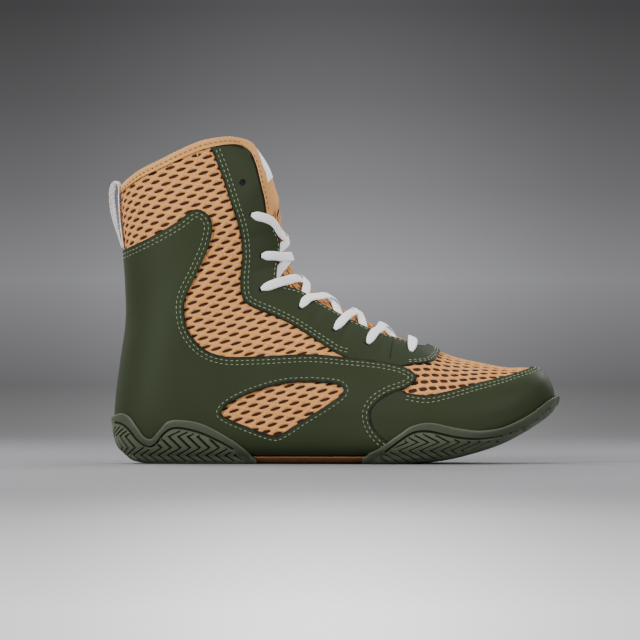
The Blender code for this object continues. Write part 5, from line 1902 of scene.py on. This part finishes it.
def stitch_tree(material):
    """Node tree that sets a small round stitch on every point, turned along its seam."""
    tree = bpy.data.node_groups.new("stitch row", "GeometryNodeTree")
    face = tree.interface
    face.new_socket("Geometry", in_out="INPUT", socket_type="NodeSocketGeometry")
    inputs = {}
    for name in ("Length", "Width"):
        inputs[name] = face.new_socket(name, in_out="INPUT", socket_type="NodeSocketFloat").identifier
    face.new_socket("Geometry", in_out="OUTPUT", socket_type="NodeSocketGeometry")
    source = add(tree, "NodeGroupInput")
    ball = add(tree, "GeometryNodeMeshUVSphere", {"Segments": 6, "Rings": 5, "Radius": 0.5})
    size = add(tree, "ShaderNodeCombineXYZ", links={
        "X": source.outputs["Length"], "Y": source.outputs["Width"], "Z": source.outputs["Width"]})
    along = add(tree, "GeometryNodeInputNamedAttribute", {"Name": "along"}, data_type="FLOAT_VECTOR")
    out = add(tree, "GeometryNodeInputNamedAttribute", {"Name": "out"}, data_type="FLOAT_VECTOR")
    turn = add(tree, "FunctionNodeAxesToRotation", links={"Primary Axis": along.outputs["Attribute"],
                                                          "Secondary Axis": out.outputs["Attribute"]},
               primary_axis="X", secondary_axis="Z")
    points = add(tree, "GeometryNodeMeshToPoints", links={"Mesh": source.outputs["Geometry"]})
    rows = add(tree, "GeometryNodeInstanceOnPoints", links={
        "Points": points.outputs["Points"], "Instance": ball.outputs["Mesh"],
        "Rotation": turn.outputs["Rotation"], "Scale": size.outputs["Vector"]})
    real = add(tree, "GeometryNodeRealizeInstances", links={"Geometry": rows.outputs["Instances"]})
    smooth = add(tree, "GeometryNodeSetShadeSmooth", links={"Geometry": real.outputs["Geometry"]})
    painted = add(tree, "GeometryNodeSetMaterial", {"Material": material},
                  {"Geometry": smooth.outputs["Geometry"]})
    add(tree, "NodeGroupOutput", links={"Geometry": painted.outputs["Geometry"]})
    return tree, inputs


def stitch_points(line, side, offset, lift, pitch):
    """Places, directions and normals of stitches along an unrolled line, moved sideways on the last."""
    rows, shares = line
    sideways = np.cross(unit(np.gradient(lifted(rows, shares, 0.0), axis=0)), normals_at(rows, shares)) * side
    for _ in range(2):
        rows, shares = slide(rows, shares, sideways * offset * 0.5)
    rows, shares = evenly_on_last(np.stack((rows, shares), -1), pitch)
    points = lifted(rows, shares, lift)
    runs = unit(np.gradient(points, axis=0))
    span = slice(0, -1) if np.allclose(points[0], points[-1], atol=pitch) else slice(1, -1)
    return points[span], runs[span], normals_at(rows, shares)[span]


def stitch_piece(name, seams, material, slot, length, width):
    """Object with all stitches of one thread."""
    points, along, out = (np.concatenate([seam[k] for seam in seams]) for k in range(3))
    mesh = bpy.data.meshes.new(name)
    mesh.from_pydata([tuple(p) for p in points], [], [])
    for key, values in (("along", along), ("out", out)):
        layer = mesh.attributes.new(key, "FLOAT_VECTOR", "POINT")
        layer.data.foreach_set("vector", np.asarray(values, np.float32).ravel())
    obj = placed(name, mesh)
    tree, inputs = stitch_tree(finish(material))
    modifier = obj.modifiers.new("stitches", "NODES")
    modifier.node_group = tree
    modifier[inputs["Length"]] = length
    modifier[inputs["Width"]] = width
    settle(obj, 180)
    claim(obj, slot)


def joined_rows(points, seam, offsets, lift, sizes, clear=SEAM_CLEAR):
    """Stitch rows beside a side drawing line that starts at a seam and runs on to the shoe's other side."""
    outer, inner = (half_line(points, side, seam, lift, clear=clear) for side in SIDES)
    line = np.concatenate((outer[::-1], at_seam(outer, 0, seam), inner)).T
    return [stitch_points(line, -1, offset, lift, sizes.stitch_pitch) for offset in offsets]


def seam_rows(points, offsets, lift, sizes):
    """Stitch rows beside a side drawing line on both sides of the shoe: offsets run to the right hand."""
    seams = []
    for side in SIDES:
        line = np.array(locate(points, side, lift))
        line = line[:, (np.abs(line[1]) > STITCH_CLEAR) & (np.abs(line[1]) < 1 - STITCH_CLEAR)]
        seams += [stitch_points(line, -side, offset, lift, sizes.stitch_pitch) for offset in offsets]
    return seams


# Stitches: how near in shares they come to the ridge and the back, their rise over the leather, their
# lift on the tape, and on the drawing where the rows of the quarter, the eyestay's toe, the throat and
# the collar end
STITCH_CLEAR = 0.012
STITCH_RISE = 0.10 * MM
TAPE_STITCH_LIFT = 1.78 * MM
TAPE_STITCH_GAP = 2.6 * MM
TAPE_STITCH_WIDTH = 1.3
QUARTER_ROW_END = (390, 440)
STAY_TOE_START = 405
THROAT_ROW_END = 415
COLLAR_ROW_END = 250


def make_stitches(sizes):
    """Rows of sewing along the edges of the overlays, the throat and the collar tape."""
    first, second = sizes.edge_gap, sizes.edge_gap + sizes.row_gap
    quarter, stay = QUARTER_LIFT + STITCH_RISE, OVERLAY_LIFT + STITCH_RISE
    edge = flowing(QUARTER_TOP + QUARTER_FRONT)
    edge = edge[(edge[:, 0] < QUARTER_ROW_END[0]) | (edge[:, 1] < QUARTER_ROW_END[1])]
    green = joined_rows(edge, 1, (first, second), quarter, sizes)
    green += seam_rows(flowing(WINDOW[4:] + WINDOW[:5]), (-first * 1.15,), quarter, sizes)
    green += seam_rows(flowing(EYESTAY_BACK + EYESTAY_TOE[:1]), (-first, -second), stay, sizes)
    tip = within(flowing(EYESTAY_TOE)[::-1], low=STAY_TOE_START)
    green += joined_rows(tip, 0, (first * 0.8, second * 0.75), stay, sizes, RIDGE_CLEAR)
    green += seam_rows(within(throat_lines()[0], high=THROAT_ROW_END), (first * 0.8,), stay, sizes)
    green += joined_rows(flowing(TOE_CAP_TOP)[::-1], 0, (-first, -second), stay, sizes, RIDGE_CLEAR)
    length, width = sizes.stitch_length, sizes.stitch_width
    stitch_piece("overlay_stitches", green, "green thread", "green_overlay", length, width)
    collar = flowing([point for point in COLLAR_LINE if point[0] < COLLAR_ROW_END])
    tan = joined_rows(collar, 1, (0.5 * sizes.binding_width,), TAPE_STITCH_LIFT, sizes)
    tan += seam_rows(flowing(BINDING_FRONT), (-TAPE_STITCH_GAP,), TAPE_STITCH_LIFT, sizes)
    stitch_piece("tape_stitches", tan, "tan thread", "edge_tape", length, TAPE_STITCH_WIDTH * width)


class SHOE_OT_stage(bpy.types.Operator):
    """Make the floor, the lights, the backdrop and the camera"""
    bl_idname = "shoe.stage"
    bl_label = "Stage"
    bl_options = {"REGISTER", "UNDO"}

    def execute(self, context):
        make_floor()
        make_lights()
        make_backdrop()
        make_camera()
        return {"FINISHED"}


class SHOE_OT_overlays(bpy.types.Operator):
    """Make the green quarter, eyestay and toe cap"""
    bl_idname = "shoe.overlays"
    bl_label = "Overlays"
    bl_options = {"REGISTER", "UNDO"}

    def execute(self, context):
        make_quarter()
        make_eyestay()
        make_toe_cap()
        return {"FINISHED"}


class SHOE_OT_knit(bpy.types.Operator):
    """Make the knit mesh and the lining behind it"""
    bl_idname = "shoe.knit"
    bl_label = "Knit and lining"
    bl_options = {"REGISTER", "UNDO"}

    def execute(self, context):
        make_knit(context.scene.shoe_sizes)
        make_lining(context.scene.shoe_sizes)
        return {"FINISHED"}


class SHOE_OT_tongue(bpy.types.Operator):
    """Make the tongue with its knit and plain patch"""
    bl_idname = "shoe.tongue"
    bl_label = "Tongue"
    bl_options = {"REGISTER", "UNDO"}

    def execute(self, context):
        make_tongue(context.scene.shoe_sizes)
        return {"FINISHED"}


class SHOE_OT_binding(bpy.types.Operator):
    """Make the folded edge tape of the collar and throat"""
    bl_idname = "shoe.binding"
    bl_label = "Collar tape"
    bl_options = {"REGISTER", "UNDO"}

    def execute(self, context):
        make_binding(context.scene.shoe_sizes)
        return {"FINISHED"}


class SHOE_OT_lace(bpy.types.Operator):
    """Make the flat white lace"""
    bl_idname = "shoe.lace"
    bl_label = "Lace"
    bl_options = {"REGISTER", "UNDO"}

    def execute(self, context):
        make_lace(context.scene.shoe_sizes)
        return {"FINISHED"}


class SHOE_OT_loop(bpy.types.Operator):
    """Make the pull tape at the heel"""
    bl_idname = "shoe.loop"
    bl_label = "Pull loop"
    bl_options = {"REGISTER", "UNDO"}

    def execute(self, context):
        make_loop()
        return {"FINISHED"}


class SHOE_OT_soles(bpy.types.Operator):
    """Make the heel cup, the forefoot cup and the arch bridge"""
    bl_idname = "shoe.soles"
    bl_label = "Soles"
    bl_options = {"REGISTER", "UNDO"}

    def execute(self, context):
        make_heel_sole(context.scene.shoe_sizes)
        make_forefoot_sole(context.scene.shoe_sizes)
        make_arch()
        return {"FINISHED"}


class SHOE_OT_footbed(bpy.types.Operator):
    """Make the footbed"""
    bl_idname = "shoe.footbed"
    bl_label = "Footbed"
    bl_options = {"REGISTER", "UNDO"}

    def execute(self, context):
        make_insole()
        return {"FINISHED"}


class SHOE_OT_stitches(bpy.types.Operator):
    """Make the sewing along the overlays and the tape"""
    bl_idname = "shoe.stitches"
    bl_label = "Stitches"
    bl_options = {"REGISTER", "UNDO"}

    def execute(self, context):
        make_stitches(context.scene.shoe_sizes)
        return {"FINISHED"}


OPERATORS = (SHOE_OT_stage, SHOE_OT_overlays, SHOE_OT_knit, SHOE_OT_tongue, SHOE_OT_binding, SHOE_OT_lace,
             SHOE_OT_loop, SHOE_OT_soles, SHOE_OT_footbed, SHOE_OT_stitches)


class SHOE_PT_panel(bpy.types.Panel):
    """Lists the pieces of the shoe with their sizes and colours"""
    bl_idname = "SHOE_PT_panel"
    bl_label = "Boxing shoe"
    bl_space_type = "VIEW_3D"
    bl_region_type = "UI"
    bl_category = "Shoe"

    def draw(self, context):
        for operator in OPERATORS:
            self.layout.operator(operator.bl_idname)
        for group in (context.scene.shoe_sizes, context.scene.shoe_colours):
            for key in group.__annotations__:
                self.layout.prop(group, key)


CLASSES = (ShoeSizes, ShoeColours, *OPERATORS, SHOE_PT_panel)


def register():
    """Registers the classes and their settings."""
    for cls in CLASSES:
        bpy.utils.register_class(cls)
    bpy.types.Scene.shoe_sizes = PointerProperty(type=ShoeSizes)
    bpy.types.Scene.shoe_colours = PointerProperty(type=ShoeColours)


def unregister():
    """Removes the settings and the classes."""
    del bpy.types.Scene.shoe_colours
    del bpy.types.Scene.shoe_sizes
    for cls in reversed(CLASSES):
        bpy.utils.unregister_class(cls)


def main():
    """Dresses the shoe."""
    register()
    bpy.ops.shoe.stage()
    bpy.ops.shoe.overlays()
    bpy.ops.shoe.knit()
    bpy.ops.shoe.tongue()
    bpy.ops.shoe.binding()
    bpy.ops.shoe.lace()
    bpy.ops.shoe.loop()
    bpy.ops.shoe.soles()
    bpy.ops.shoe.footbed()
    bpy.ops.shoe.stitches()


if __name__ == "__main__":
    main()
